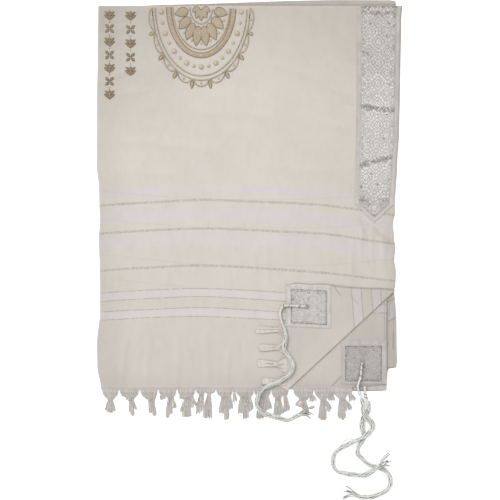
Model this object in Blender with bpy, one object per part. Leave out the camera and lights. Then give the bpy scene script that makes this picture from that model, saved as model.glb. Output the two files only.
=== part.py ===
"""A prayer shawl folded in four and laid flat, with its near corner turned back.

The shawl is folded once across its middle, which makes the far edge, and once along its
depth, which makes the left edge. Four layers lie on each other: the front panel, the
second layer, and two more that share one solid. +X runs across the folded shawl, +Y runs
away from its fringed hem, +Z is up, and the part rests on z = 0. All sizes are in metres.
"""

import math

import bmesh
import bpy
from mathutils import Vector

# The shawl and how it lies
SHAWL_LENGTH = 1.92  # hem to hem, without the fringes
HEM = -0.349  # the front panel's hem
FAR_FOLD = HEM + SHAWL_LENGTH / 2
WALL = 0.0016  # the cloth
GAP = 0.0003  # between pieces that touch
LAYER = WALL + GAP
SECOND_BASE = 2 * LAYER  # underside of the second layer
FRONT_BASE = 3 * LAYER  # underside of the front panel where it lies flat

# The left fold and the front panel's right edge, from the far fold to the hem
LEFT_FOLD = (  # y, x
    (0.611, -0.3775),
    (0.475, -0.379),
    (0.375, -0.381),
    (0.212, -0.381),
    (0.15, -0.3755),
    (0.07, -0.3737),
    (0.025, -0.3762),
    (-0.05, -0.3737),
    (-0.15, -0.373),
    (-0.237, -0.381),
    (-0.288, -0.380),
    (-0.349, -0.3705),
)
RIGHT_EDGE = (  # y, x
    (0.611, 0.3810),
    (0.575, 0.3775),
    (0.4, 0.375),
    (0.3, 0.3728),
    (0.2, 0.3675),
    (0.15, 0.3625),
    (0.05, 0.3575),
    (0.025, 0.362),
    (-0.05, 0.3643),
    (-0.1013, 0.3625),
)
# Soft folds that lift the front panel: centre, turn from +X, half length, half width, height
FOLDS = (
    (-0.30, -0.25, 78, 0.12, 0.060, 0.0014),
    (-0.12, 0.03, -5, 0.22, 0.040, 0.0013),
    (-0.10, -0.10, -7, 0.26, 0.045, 0.0012),
    (-0.20, 0.36, 62, 0.24, 0.070, 0.0012),
    (0.10, 0.22, 100, 0.20, 0.070, 0.0010),
    (0.30, 0.01, 96, 0.07, 0.040, 0.0010),
    (-0.22, -0.33, 84, 0.08, 0.045, 0.0010),
    (-0.06, -0.33, 92, 0.09, 0.045, 0.0009),
    (-0.345, 0.44, 86, 0.14, 0.035, 0.0010),
)

# The left fold goes round all four layers, the far fold round the upper two
LEFT_ROLL_DEGREES = (150, 120, 90, 60, 30)
LEFT_ROLL_FLOOR = 0.0002
FAR_ROLL = 2 * LAYER - GAP
FAR_ROLL_DEGREES = (90, 45)

# The collar: a brocade band in a ribbon, along the neck edge, with a pointed end
COLLAR_SEAM = ((0.611, 0.268), (0.35, 0.2665), (0.112, 0.262))  # y, x of its inner edge
COLLAR_INSET = 0.0025  # from the front panel's right edge
COLLAR_START = FAR_FOLD - 0.0011
COLLAR_SHOULDER = 0.1145  # where the pointed end begins
COLLAR_TIP = 0.068
COLLAR_RIBBON = 0.0105
COLLAR_RIBBON_WALL = 0.0011
BROCADE_WALL = 0.0013

# The turned-back corner, folded along the line from FOLD_A, on the right edge, to FOLD_B
FOLD_A = Vector((0.3625, -0.1013))
FOLD_B = Vector((0.0900, -0.3540))
FLAP_CORNER = Vector((0.0895, -0.0865))
FLAP_LIFT = WALL + GAP + 0.0001  # the flap's underside over the front panel's
FOLD_OUTER = (FLAP_LIFT + WALL) / 2
FOLD_INNER = FOLD_OUTER - WALL
FOLD_LEG = 0.003  # what the flap keeps of the cloth under the fold
FLAP_STEPS = 12

# The corner patches: brocade squares in a ribbon
PATCH_WIDE = 0.1125
PATCH_TALL = 0.1045
PATCH_RIBBONS = (0.0125, 0.0085, 0.011, 0.0085)  # left, top, right, bottom
PATCH_INSET = 0.0015
PATCH_STEPS = 3
RIBBON_WALL = 0.0010
SECOND_PATCH_CORNER = Vector((0.2280, -0.2243))  # its upper left corner
THIRD_RIBBON = (0.2590, 0.3405, -0.3512)  # from x, to x, y of its lower edge

# The second layer's right edge and hem
SECOND_LEFT = -0.3655
SECOND_RIGHT = ((0.606, 0.356), (0.0, 0.351), (-0.13, 0.3425), (-0.336, 0.3415))  # y, x
SECOND_HEM = (  # x, y
    (-0.3655, -0.3475),
    (0.2480, -0.3475),
    (0.2600, -0.3430),
    (0.3415, -0.3365),
)
SECOND_COLUMNS = (-0.3655, -0.20, 0.0, 0.10, 0.20, 0.2480, 0.2600, 0.30, 0.3415)  # at its hem
SECOND_ROWS = 10

# The two lowest layers: the outline of the lowest, that of the one on it, and fold or edge
LOWER_OUTLINE = (
    (-0.368, 0.603, -0.368, 0.603, "fold"),
    (-0.243, 0.6100, -0.243, 0.6100, "fold"),
    (-0.123, 0.6130, -0.123, 0.6130, "fold"),
    (0.004, 0.6178, 0.004, 0.6178, "fold"),
    (0.126, 0.6218, 0.126, 0.6218, "fold"),
    (0.226, 0.6233, 0.226, 0.6233, "fold"),
    (0.3640, 0.6228, 0.3630, 0.6228, "fold"),
    (0.3655, 0.600, 0.362, 0.600, "edge"),
    (0.3665, 0.200, 0.360, 0.200, "edge"),
    (0.3650, -0.100, 0.346, -0.100, "edge"),
    (0.3670, -0.250, 0.342, -0.250, "edge"),
    (0.3675, -0.283, 0.342, -0.283, "edge"),
    (0.3650, -0.2945, 0.342, -0.290, "edge"),
    (0.3465, -0.2970, 0.342, -0.297, "edge"),
    (0.3440, -0.3050, 0.342, -0.305, "edge"),
    (0.3425, -0.3300, 0.3418, -0.330, "edge"),
    (0.3413, -0.3515, 0.3408, -0.3511, "edge"),
    (0.3260, -0.3530, 0.3260, -0.3526, "edge"),
    (0.2580, -0.3532, 0.2585, -0.3526, "edge"),
    (0.2540, -0.3490, 0.2545, -0.3480, "edge"),
    (-0.365, -0.3480, -0.365, -0.3470, "edge"),
)
LOWER_LEVELS = (  # height, which outline, how far an edge is drawn in
    (0.0000, 0, 0.0007),
    (0.0004, 0, 0.0001),
    (0.0012, 0, 0.0001),
    (0.0016, 0, 0.0007),
    (0.00175, 0, 0.0045),
    (0.0019, 1, 0.0007),
    (0.0023, 1, 0.0001),
    (0.0031, 1, 0.0001),
    (0.0035, 1, 0.0007),
)

# The knotted fringe. Each row: root from, root to, knot (across, out), then the locks' tips
# (across, out). Across runs along the hem, out runs away from it.
FRINGE_STRIP = 0.0025
KNOT_LENGTH = 0.006
KNOT_SIZES = ((0.0062, 0.0022), (0.0082, 0.0034), (0.0066, 0.0024))  # width, thickness
LOCK_WIDE = 0.0052
LOCK_THICK = 0.0017
LOCK_TIP_THICK = 0.0011
LOCK_CLEARANCE = 0.0005
LOCK_SHARES = (0.0, 0.35, 0.75, 1.0)
FRONT_FRINGE = (
    (-0.3690, -0.3290, (-0.3493, 0.022), ((-0.3560, 0.055), (-0.3490, 0.061), (-0.3405, 0.052))),
    (-0.3260, -0.2790, (-0.2985, 0.021), ((-0.3040, 0.046), (-0.2950, 0.067), (-0.2845, 0.048))),
    (-0.2730, -0.2320, (-0.2480, 0.021), ((-0.2570, 0.052), (-0.2400, 0.068), (-0.2320, 0.047))),
    (-0.2280, -0.1870, (-0.1995, 0.018), ((-0.2180, 0.030), (-0.2065, 0.070), (-0.1880, 0.046))),
    (-0.1760, -0.1470, (-0.1565, 0.019),
     ((-0.1700, 0.058), (-0.1620, 0.071), (-0.1520, 0.071), (-0.1415, 0.047))),
    (-0.1340, -0.1030, (-0.1110, 0.016), ((-0.1300, 0.062), (-0.1140, 0.074), (-0.1000, 0.074))),
    (-0.0850, -0.0490, (-0.0620, 0.016), ((-0.0740, 0.057), (-0.0620, 0.078), (-0.0480, 0.049))),
    (-0.0400, 0.0010, (-0.0175, 0.021),
     ((-0.0350, 0.032), (-0.0230, 0.062), (-0.0110, 0.077), (0.0020, 0.054))),
    (0.0140, 0.0500, (0.0380, 0.026), ((0.0210, 0.067), (0.0350, 0.073), (0.0500, 0.050))),
    (0.0560, 0.0830, (0.0745, 0.029), ((0.0620, 0.055), (0.0750, 0.070), (0.0850, 0.066))),
)
SECOND_FRINGE = (
    (0.1080, 0.1480, (0.1400, 0.024),
     ((0.1160, 0.040), (0.1250, 0.050), (0.1370, 0.071), (0.1470, 0.046))),
    (0.1520, 0.1570, (0.1545, 0.008), ((0.1515, 0.033), (0.1640, 0.031))),
    (0.1600, 0.2000, (0.1810, 0.031), ((0.1740, 0.077), (0.1860, 0.077), (0.1970, 0.062))),
    (0.2020, 0.2080, (0.2050, 0.008), ((0.1970, 0.030), (0.2110, 0.031))),
    (0.2120, 0.2400, (0.2280, 0.027),
     ((0.2200, 0.073), (0.2330, 0.077), (0.2435, 0.058), (0.2550, 0.049))),
    (0.2420, 0.2470, (0.2475, 0.008), ((0.2510, 0.032), (0.2620, 0.030))),
)
FLAP_FRINGE = (  # across is measured down the flap's left edge
    (0.0920, 0.1180, (0.1110, 0.012), ((0.1030, 0.060), (0.1090, 0.067), (0.1180, 0.070))),
    (0.1300, 0.1660, (0.1510, 0.013), ((0.1440, 0.062), (0.1510, 0.066), (0.1600, 0.061))),
    (0.1780, 0.2120, (0.1940, 0.017), ((0.1870, 0.060), (0.1940, 0.064), (0.2020, 0.066))),
    (0.2200, 0.2500, (0.2330, 0.023), ((0.2290, 0.056), (0.2380, 0.061))),
)
FLAP_FRINGE_FROM = 0.0900
FLAP_FRINGE_TO = 0.2520

# The corner tassels: a wound head from the patch's eyelet, then eight strands
STRANDS_ACROSS = 4
STRANDS_DEEP = 2
STRAND_RADIUS = 0.0007
BUNDLE_WIDE = 0.0044
BUNDLE_HIGH = 0.0026
BUNDLE_TWIST_LENGTH = 0.16
HEAD_WIDE = 0.0034
HEAD_HIGH = 0.0028
HEAD_RINGS = 7
STRAND_RINGS = 30
TIP_SPREAD = 0.0110
TIP_LENGTH = 0.045  # where the strands part
TIP_RINGS = 3
TIP_SHORTENING = 0.026
FRONT_TASSEL_HEAD = 0.125
FRONT_TASSEL = (  # x, y, z of the middle of the bundle
    (0.1420, -0.1410, 0.0146),
    (0.1213, -0.1398, 0.0148),
    (0.0968, -0.1388, 0.0148),
    (0.0835, -0.1408, 0.0140),
    (0.0768, -0.1510, 0.0124),
    (0.0758, -0.1643, 0.0122),
    (0.0800, -0.1823, 0.0140),
    (0.0878, -0.2000, 0.0152),
    (0.0890, -0.2170, 0.0152),
    (0.0858, -0.2313, 0.0150),
    (0.0850, -0.2470, 0.0150),
    (0.0923, -0.2603, 0.0150),
    (0.1035, -0.2760, 0.0150),
    (0.1080, -0.2893, 0.0150),
    (0.1035, -0.3050, 0.0150),
    (0.0900, -0.3183, 0.0154),
    (0.0700, -0.3295, 0.0146),
    (0.0478, -0.3385, 0.0140),
    (0.0298, -0.3495, 0.0130),
    (0.0198, -0.3630, 0.0112),
    (0.0165, -0.3785, 0.0096),
    (0.0200, -0.3942, 0.0084),
    (0.0310, -0.4062, 0.0080),
    (0.0458, -0.4118, 0.0078),
    (0.0620, -0.4170, 0.0078),
    (0.0788, -0.4220, 0.0076),
    (0.0955, -0.4245, 0.0062),
    (0.1095, -0.4180, 0.0062),
    (0.1223, -0.4118, 0.0064),
    (0.1390, -0.4060, 0.0070),
    (0.1600, -0.4085, 0.0076),
)
SECOND_TASSEL_HEAD = 0.085
SECOND_TASSEL = (
    (0.2820, -0.2800, 0.0108),
    (0.2790, -0.2883, 0.0110),
    (0.2780, -0.3010, 0.0110),
    (0.2765, -0.3175, 0.0110),
    (0.2715, -0.3318, 0.0106),
    (0.2690, -0.3430, 0.0096),
    (0.2710, -0.3560, 0.0080),
    (0.2755, -0.3700, 0.0058),
    (0.2778, -0.3830, 0.0046),
    (0.2775, -0.3960, 0.0048),
    (0.2790, -0.4075, 0.0080),
    (0.2860, -0.4165, 0.0114),
    (0.2955, -0.4235, 0.0112),
    (0.3040, -0.4330, 0.0080),
    (0.3058, -0.4425, 0.0070),
    (0.3010, -0.4525, 0.0086),
    (0.2905, -0.4625, 0.0112),
    (0.2780, -0.4700, 0.0112),
    (0.2580, -0.4795, 0.0080),
    (0.2375, -0.4895, 0.0044),
    (0.2190, -0.5010, 0.0040),
    (0.2090, -0.5130, 0.0038),
    (0.2068, -0.5280, 0.0038),
    (0.2092, -0.5425, 0.0038),
    (0.2180, -0.5530, 0.0038),
    (0.2335, -0.5570, 0.0038),
    (0.2530, -0.5608, 0.0038),
    (0.2720, -0.5632, 0.0038),
    (0.2890, -0.5612, 0.0042),
    (0.3010, -0.5545, 0.0070),
    (0.3130, -0.5472, 0.0108),
    (0.3260, -0.5388, 0.0112),
    (0.3380, -0.5300, 0.0090),
    (0.3530, -0.5265, 0.0060),
)
THIRD_TASSEL_HEAD = 0.030
THIRD_TASSEL = (
    (0.2868, -0.3400, 0.0086),
    (0.2872, -0.3520, 0.0084),
    (0.2888, -0.3648, 0.0062),
    (0.2930, -0.3770, 0.0044),
    (0.2968, -0.3890, 0.0038),
    (0.2950, -0.4020, 0.0036),
    (0.2890, -0.4140, 0.0036),
    (0.2825, -0.4245, 0.0036),
    (0.2800, -0.4360, 0.0036),
    (0.2808, -0.4470, 0.0036),
    (0.2838, -0.4580, 0.0036),
    (0.2850, -0.4680, 0.0036),
    (0.2815, -0.4780, 0.0036),
    (0.2750, -0.4870, 0.0036),
    (0.2700, -0.4970, 0.0036),
    (0.2692, -0.5080, 0.0036),
    (0.2738, -0.5170, 0.0036),
    (0.2855, -0.5270, 0.0036),
    (0.2995, -0.5360, 0.0036),
    (0.3150, -0.5420, 0.0036),
    (0.3290, -0.5470, 0.0036),
    (0.3405, -0.5540, 0.0036),
    (0.3480, -0.5640, 0.0036),
    (0.3512, -0.5755, 0.0036),
    (0.3500, -0.5880, 0.0036),
    (0.3425, -0.5990, 0.0036),
    (0.3300, -0.6080, 0.0036),
    (0.3120, -0.6150, 0.0036),
    (0.2920, -0.6180, 0.0036),
    (0.2770, -0.6170, 0.0036),
    (0.2620, -0.6105, 0.0036),
    (0.2480, -0.6050, 0.0036),
    (0.2330, -0.6030, 0.0038),
)

# Finishes: base colour, roughness, metallic
CREAM_CLOTH = ("cream cloth", (0.62, 0.57, 0.50), 0.85, 0.0)
SATIN_RIBBON = ("satin ribbon", (0.62, 0.60, 0.59), 0.45, 0.0)
SILVER_BROCADE = ("silver brocade", (0.58, 0.56, 0.54), 0.35, 0.6)
FRINGE_YARN = ("fringe yarn", (0.58, 0.54, 0.48), 0.90, 0.0)
TASSEL_CORD = ("tassel cord", (0.70, 0.70, 0.64), 0.80, 0.0)


def clear_scene():
    for old in list(bpy.data.objects):
        bpy.data.objects.remove(old, do_unlink=True)


def finish_of(row):
    """The material that a finish row describes, made once."""
    name, colour, roughness, metallic = row
    material = bpy.data.materials.get(name)
    if material is None:
        material = bpy.data.materials.new(name)
        material.use_nodes = True
        shader = material.node_tree.nodes["Principled BSDF"]
        shader.inputs["Base Color"].default_value = (*colour, 1.0)
        shader.inputs["Roughness"].default_value = roughness
        shader.inputs["Metallic"].default_value = metallic
    return material


def add_object(name, points, faces, finish):
    mesh = bpy.data.meshes.new(name)
    mesh.from_pydata([tuple(point) for point in points], [], faces)
    mesh.update()
    part = bpy.data.objects.new(name, mesh)
    part.data.materials.append(finish_of(finish))
    bpy.context.scene.collection.objects.link(part)
    return part


def along(table, at):
    """A smooth value from rows of (at, value), whose first column runs up or down."""
    rows = sorted(table)
    if at <= rows[0][0]:
        return rows[0][1]
    for (low, from_value), (high, to_value) in zip(rows, rows[1:]):
        if at <= high:
            share = (at - low) / (high - low)
            return from_value + (to_value - from_value) * share * share * (3 - 2 * share)
    return rows[-1][1]


def straight(table, at):
    """A value on the straight lines between rows of (at, value)."""
    rows = sorted(table)
    for (low, from_value), (high, to_value) in zip(rows, rows[1:]):
        if at <= high or high == rows[-1][0]:
            return from_value + (to_value - from_value) * (at - low) / (high - low)


def curve_point(route, share):
    """A point on the Catmull-Rom curve through the route, at a share of its spans."""
    spans = len(route) - 1
    at = min(max(share, 0.0), 1.0) * spans
    span = min(int(at), spans - 1)
    t = at - span
    p0, p1, p2, p3 = (
        Vector(route[min(max(span + offset, 0), spans)]) for offset in (-1, 0, 1, 2)
    )
    return 0.5 * (
        2 * p1
        + (p2 - p0) * t
        + (2 * p0 - 5 * p1 + 4 * p2 - p3) * t * t
        + (3 * p1 - p0 - 3 * p2 + p3) * t * t * t
    )


def spaced(route, count, samples=600):
    """count points at even lengths along the route's curve, with the length of each."""
    fine = [curve_point(route, i / samples) for i in range(samples + 1)]
    lengths = [0.0]
    for before, after in zip(fine, fine[1:]):
        lengths.append(lengths[-1] + (after - before).length)
    points = []
    k = 0
    for i in range(count):
        wanted = lengths[-1] * i / (count - 1)
        while k < samples - 1 and lengths[k + 1] < wanted:
            k += 1
        span = lengths[k + 1] - lengths[k]
        points.append(fine[k].lerp(fine[k + 1], min((wanted - lengths[k]) / span, 1.0)))
    return points, lengths[-1]


# ---------------------------------------------------------------- walls of cloth


def slab(name, outer, inner, faces, finish):
    """A wall between two sheets of the same faces, closed round each open edge."""
    count = len(outer)
    used = {}
    for face in faces:
        for start, end in zip(face, face[1:] + face[:1]):
            used[(start, end)] = True
    solid = [tuple(face) for face in faces]
    solid += [tuple(count + i for i in reversed(face)) for face in faces]
    for start, end in used:
        if (end, start) not in used:
            solid.append((end, start, count + start, count + end))
    return add_object(name, list(outer) + list(inner), solid, finish)


def grid_faces(columns, rows, kept=None):
    """Triangles of a grid whose points run row by row. Rows run down and columns right."""
    faces = []
    for r in range(rows - 1):
        for c in range(columns - 1):
            if kept is not None and not kept(c, r):
                continue
            a = r * columns + c
            b, d, e = a + 1, a + columns, a + columns + 1
            faces += [(a, d, e), (a, e, b)]
    return faces


def fold_lift(x, y):
    lift = 0.0
    for at_x, at_y, turn, length, width, height in FOLDS:
        angle = math.radians(turn)
        u = (x - at_x) * math.cos(angle) + (y - at_y) * math.sin(angle)
        v = (y - at_y) * math.cos(angle) - (x - at_x) * math.sin(angle)
        lift += height * math.exp(-((u / length) ** 2) - (v / width) ** 2)
    return lift


def front_under(x, y):
    """Height of the front panel's underside."""
    return FRONT_BASE + fold_lift(x, y)


def front_top(x, y):
    """Height of the front panel's upper side, which turns down at the far fold."""
    top = front_under(x, y) + WALL
    past = (y - (FAR_FOLD - FAR_ROLL)) / FAR_ROLL
    if past > 0:
        top -= FAR_ROLL * (1 - math.sqrt(max(0.0, 1 - past * past)))
    return top


def fold_direction():
    return (FOLD_B - FOLD_A).normalized()


def fold_outward():
    """Across the corner's fold line, away from the flap."""
    run = fold_direction()
    return Vector((-run.y, run.x))


def front_right(y):
    """Where the front panel ends: its right edge, or the cloth that the flap keeps."""
    run = fold_direction()
    on_line = FOLD_A + run * ((y - FOLD_A.y) / run.y)
    back = FOLD_OUTER + FOLD_LEG + GAP
    clear = on_line.x - back / fold_outward().x
    return min(clear, along(RIGHT_EDGE, y))


def cut_start():
    """The y where the front panel's right edge turns into the cut along the fold."""
    back = FOLD_OUTER + FOLD_LEG + GAP
    return FOLD_A.y - back / fold_outward().y


def front_rows():
    """Heights y of the front panel's rows, from the far fold to the hem."""
    anchors = (FAR_FOLD - FAR_ROLL, COLLAR_SHOULDER, COLLAR_TIP, cut_start(), HEM)
    steps = (15, 2, 5, 8)
    rows = [anchors[0]]
    for start, end, count in zip(anchors, anchors[1:], steps):
        rows += [start + (end - start) * (i + 1) / count for i in range(count)]
    return rows


def front_columns(y, left):
    """The x of each column of the front panel from the end of its left roll."""
    right = front_right(y)
    at = max(y, cut_start())
    seam = along(COLLAR_SEAM, at)
    full_right = along(RIGHT_EDGE, at)
    seam_share = (seam - left) / (full_right - left)
    main = [seam_share * i / 13 for i in range(13)]
    edge = [seam_share + (1 - seam_share) * share for share in (0.0, 0.5, 0.88, 1.0)]
    return [left + (right - left) * share for share in main + edge]


def make_front_panel():
    """The uppermost layer. It rolls round the left fold and turns down at the far fold."""
    outer, inner = [], []
    far_turns = [math.radians(d) for d in FAR_ROLL_DEGREES] + [0.0]
    stations = [(FAR_FOLD - FAR_ROLL, turn) for turn in far_turns]
    stations += [(y, 0.0) for y in front_rows()[1:]]
    for y, turn in stations:
        fold_x = along(LEFT_FOLD, y)
        roll = (front_top(fold_x, y) - LEFT_ROLL_FLOOR) / 2
        for surface, thickness in ((outer, 0.0), (inner, WALL)):
            radius = FAR_ROLL - thickness
            at_y = y + radius * math.sin(turn)
            down = radius * (1 - math.cos(turn))
            for degrees in LEFT_ROLL_DEGREES:
                angle = math.radians(degrees)
                around = roll - thickness
                x = fold_x + roll - around * math.sin(angle)
                centre = front_top(fold_x, y) - roll
                fade = max(0.0, math.cos(angle))
                surface.append((x, at_y, centre + around * math.cos(angle) - down * fade))
            for x in front_columns(y, fold_x + roll):
                surface.append((x, at_y, front_under(x, y) + WALL - thickness - down))
    columns = len(outer) // len(stations)
    faces = grid_faces(columns, len(stations))
    return slab("front_panel", outer, inner, faces, CREAM_CLOTH)


def make_second_layer():
    """The layer under the front panel. Its corner shows where the front one is turned back."""
    outer, inner = [], []
    top_y = FAR_FOLD - WALL - 2 * GAP - 0.004
    left, right = SECOND_COLUMNS[0], SECOND_COLUMNS[-1]
    for r in range(SECOND_ROWS + 1):
        for column in SECOND_COLUMNS:
            y = top_y + (straight(SECOND_HEM, column) - top_y) * r / SECOND_ROWS
            x = left + (straight(SECOND_RIGHT, y) - left) * (column - left) / (right - left)
            outer.append((x, y, SECOND_BASE + WALL))
            inner.append((x, y, SECOND_BASE))
    faces = grid_faces(len(SECOND_COLUMNS), SECOND_ROWS + 1)
    return slab("second_layer", outer, inner, faces, CREAM_CLOTH)


def make_lower_layers():
    """The two hidden layers as one solid, rounded at the far fold and grooved at its edges."""
    count = len(LOWER_OUTLINE)
    height = LOWER_LEVELS[-1][0]
    points = []
    for z, which, drawn_in in LOWER_LEVELS:
        ring = [Vector(row[2 * which : 2 * which + 2]) for row in LOWER_OUTLINE]
        for i, here in enumerate(ring):
            run = (ring[(i + 1) % count] - ring[i - 1]).normalized()
            inward = Vector((run.y, -run.x))
            if LOWER_OUTLINE[i][4] == "fold":
                half = height / 2
                drawn = half - math.sqrt(max(0.0, half * half - (z - half) ** 2))
            else:
                drawn = drawn_in
            points.append((*(here + inward * drawn), z))
    faces = [tuple(range(count))]
    for level in range(len(LOWER_LEVELS) - 1):
        low, high = level * count, (level + 1) * count
        for i in range(count):
            j = (i + 1) % count
            faces.append((low + i, high + i, high + j, low + j))
    top = (len(LOWER_LEVELS) - 1) * count
    faces.append(tuple(top + i for i in reversed(range(count))))
    return add_object("lower_layers", points, faces, CREAM_CLOTH)


def flap_under(x, y):
    return front_under(x, y) + FLAP_LIFT


def make_corner_flap():
    """The front panel's corner, turned back over it, with the roll of its fold."""
    run, outward = fold_direction(), fold_outward()
    length = (FOLD_B - FOLD_A).length
    outer, inner, rows = [], [], []

    def add_roll_row(across_outer, across_inner, up_outer, up_inner):
        row = []
        for i in range(FLAP_STEPS + 1):
            base = FOLD_A + run * (length * i / FLAP_STEPS) - outward * FOLD_OUTER
            centre = flap_under(base.x, base.y) - FLAP_LIFT + FOLD_OUTER
            at_outer, at_inner = base + outward * across_outer, base + outward * across_inner
            row.append(len(outer))
            outer.append((*at_outer, centre + up_outer))
            inner.append((*at_inner, centre + up_inner))
        rows.append(row)

    add_roll_row(-FOLD_LEG, -FOLD_LEG, -FOLD_OUTER, -FOLD_INNER)
    for degrees in (180, 135, 90, 45, 0):
        angle = math.radians(degrees)
        add_roll_row(
            FOLD_OUTER * math.sin(angle),
            FOLD_INNER * math.sin(angle),
            FOLD_OUTER * math.cos(angle),
            FOLD_INNER * math.cos(angle),
        )
    start = FOLD_A - outward * FOLD_OUTER
    end = FOLD_B - outward * FOLD_OUTER
    for k in range(1, FLAP_STEPS + 1):
        left, right = start.lerp(FLAP_CORNER, k / FLAP_STEPS), end.lerp(FLAP_CORNER, k / FLAP_STEPS)
        row = []
        for i in range(FLAP_STEPS - k + 1):
            here = left.lerp(right, i / max(1, FLAP_STEPS - k))
            under = flap_under(here.x, here.y)
            row.append(len(outer))
            outer.append((here.x, here.y, under + WALL))
            inner.append((here.x, here.y, under))
        rows.append(row)
    faces = []
    for before, after in zip(rows, rows[1:]):
        for i in range(len(before) - 1):
            if len(after) == len(before):
                faces.append((before[i], after[i + 1], before[i + 1]))
                faces.append((before[i], after[i], after[i + 1]))
            else:
                faces.append((before[i], after[i], before[i + 1]))
                if i < len(after) - 1:
                    faces.append((before[i + 1], after[i], after[i + 1]))
    return slab("corner_flap", outer, inner, faces, CREAM_CLOTH)


# ---------------------------------------------------------------- collar and patches


def collar_point(share, y):
    """A place on the collar: share 0 at its inner edge and 1 at its outer edge."""
    at = max(y, COLLAR_SHOULDER)
    inner_x = along(COLLAR_SEAM, at)
    outer_x = along(RIGHT_EDGE, at) - COLLAR_INSET
    return inner_x + (outer_x - inner_x) * share, y


def collar_sheet(name, sites, faces, wall, finish):
    """A wall on the front panel, made from its upper side."""
    outer, inner = [], []
    for x, y in sites:
        under = front_top(x, y) + GAP
        outer.append((x, y, under + wall))
        inner.append((x, y, under))
    return slab(name, outer, inner, faces, finish)


def collar_rows():
    return [COLLAR_START] + [y for y in front_rows() if y >= COLLAR_SHOULDER - 1e-6]


def make_collar():
    rows = collar_rows()
    width = collar_point(1, COLLAR_SHOULDER)[0] - collar_point(0, COLLAR_SHOULDER)[0]
    share = COLLAR_RIBBON / width
    slack = GAP / width
    middle = 0.5
    ribbon_columns = (0.0, share, middle, 1 - share, 1.0)
    sites = [collar_point(column, y) for y in rows for column in ribbon_columns]
    columns = len(ribbon_columns)
    faces = grid_faces(columns, len(rows), lambda c, r: c in (0, columns - 2))
    last = (len(rows) - 1) * columns
    slant = (COLLAR_SHOULDER - COLLAR_TIP) / (width / 2)
    tip_in = COLLAR_RIBBON * math.hypot(1, slant)
    shoulder_in = tip_in - COLLAR_RIBBON * slant
    sites += [
        collar_point(share, COLLAR_SHOULDER - 0.001 + shoulder_in * 0),
        collar_point(middle, COLLAR_TIP + tip_in),
        collar_point(1 - share, COLLAR_SHOULDER - 0.001 + shoulder_in * 0),
        collar_point(middle, COLLAR_TIP),
    ]
    notch_left, notch, notch_right, tip = range(len(sites) - 4, len(sites))
    left, left_in, right_in, right = last, last + 1, last + 3, last + 4
    faces += [
        (left, notch_left, left_in),
        (left, tip, notch_left),
        (notch_left, tip, notch),
        (notch, tip, notch_right),
        (notch_right, tip, right),
        (right_in, notch_right, right),
    ]
    collar_sheet("collar_ribbon", sites, faces, COLLAR_RIBBON_WALL, SATIN_RIBBON)

    brocade_columns = (share + slack, 0.3, middle, 0.7, 1 - share - slack)
    sites = [collar_point(column, y) for y in rows for column in brocade_columns]
    faces = grid_faces(len(brocade_columns), len(rows))
    last = (len(rows) - 1) * len(brocade_columns)
    sites.append(collar_point(middle, COLLAR_TIP + tip_in + 2 * GAP))
    faces += [(last + i, len(sites) - 1, last + i + 1) for i in range(4)]
    collar_sheet("collar_brocade", sites, faces, BROCADE_WALL, SILVER_BROCADE)


def make_patch(which, corner, right_run, down_run, ground):
    """A corner patch on a sheet: a ribbon frame and the brocade square inside it."""
    left, top, right, bottom = PATCH_RIBBONS

    def stations(start, size, first, last, slack):
        inner_from, inner_to = first + slack, size - last - slack
        steps = [inner_from + (inner_to - inner_from) * i / PATCH_STEPS for i in range(PATCH_STEPS + 1)]
        return [start + step for step in steps]

    def sheet(name, across, down, kept, wall, finish):
        outer, inner = [], []
        for d in down:
            for a in across:
                here = corner + right_run * a + down_run * d
                under = ground(here.x, here.y) + GAP
                outer.append((here.x, here.y, under + wall))
                inner.append((here.x, here.y, under))
        slab(name, outer, inner, grid_faces(len(across), len(down), kept), finish)

    across = [PATCH_INSET, *stations(PATCH_INSET, PATCH_WIDE, left, right, 0), PATCH_INSET + PATCH_WIDE]
    down = [PATCH_INSET, *stations(PATCH_INSET, PATCH_TALL, top, bottom, 0), PATCH_INSET + PATCH_TALL]
    ring = (0, PATCH_STEPS + 1)
    sheet(
        "corner_ribbon_" + which,
        across,
        down,
        lambda c, r: c in ring or r in ring,
        RIBBON_WALL,
        SATIN_RIBBON,
    )
    sheet(
        "corner_brocade_" + which,
        stations(PATCH_INSET, PATCH_WIDE, left, right, GAP),
        stations(PATCH_INSET, PATCH_TALL, top, bottom, GAP),
        None,
        BROCADE_WALL,
        SILVER_BROCADE,
    )


def make_third_ribbon():
    """What shows of the third layer's patch, past the second layer's hem."""
    left, right, bottom = THIRD_RIBBON
    under = LOWER_LEVELS[-1][0] + GAP
    columns = (left, 0.2600, 0.30, right)
    sites = [(x, straight(SECOND_HEM, x) - 2 * GAP) for x in columns]
    sites += [(x, bottom) for x in columns]
    outer = [(x, y, under + RIBBON_WALL) for x, y in sites]
    inner = [(x, y, under) for x, y in sites]
    slab("corner_ribbon_third", outer, inner, grid_faces(len(columns), 2), SATIN_RIBBON)


# ---------------------------------------------------------------- fringe


def side_walls(faces, ring, following):
    """Quads between two rings that run the same way."""
    for i, start in enumerate(ring):
        end = (i + 1) % len(ring)
        faces.append((start, ring[end], following[end], following[i]))


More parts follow.
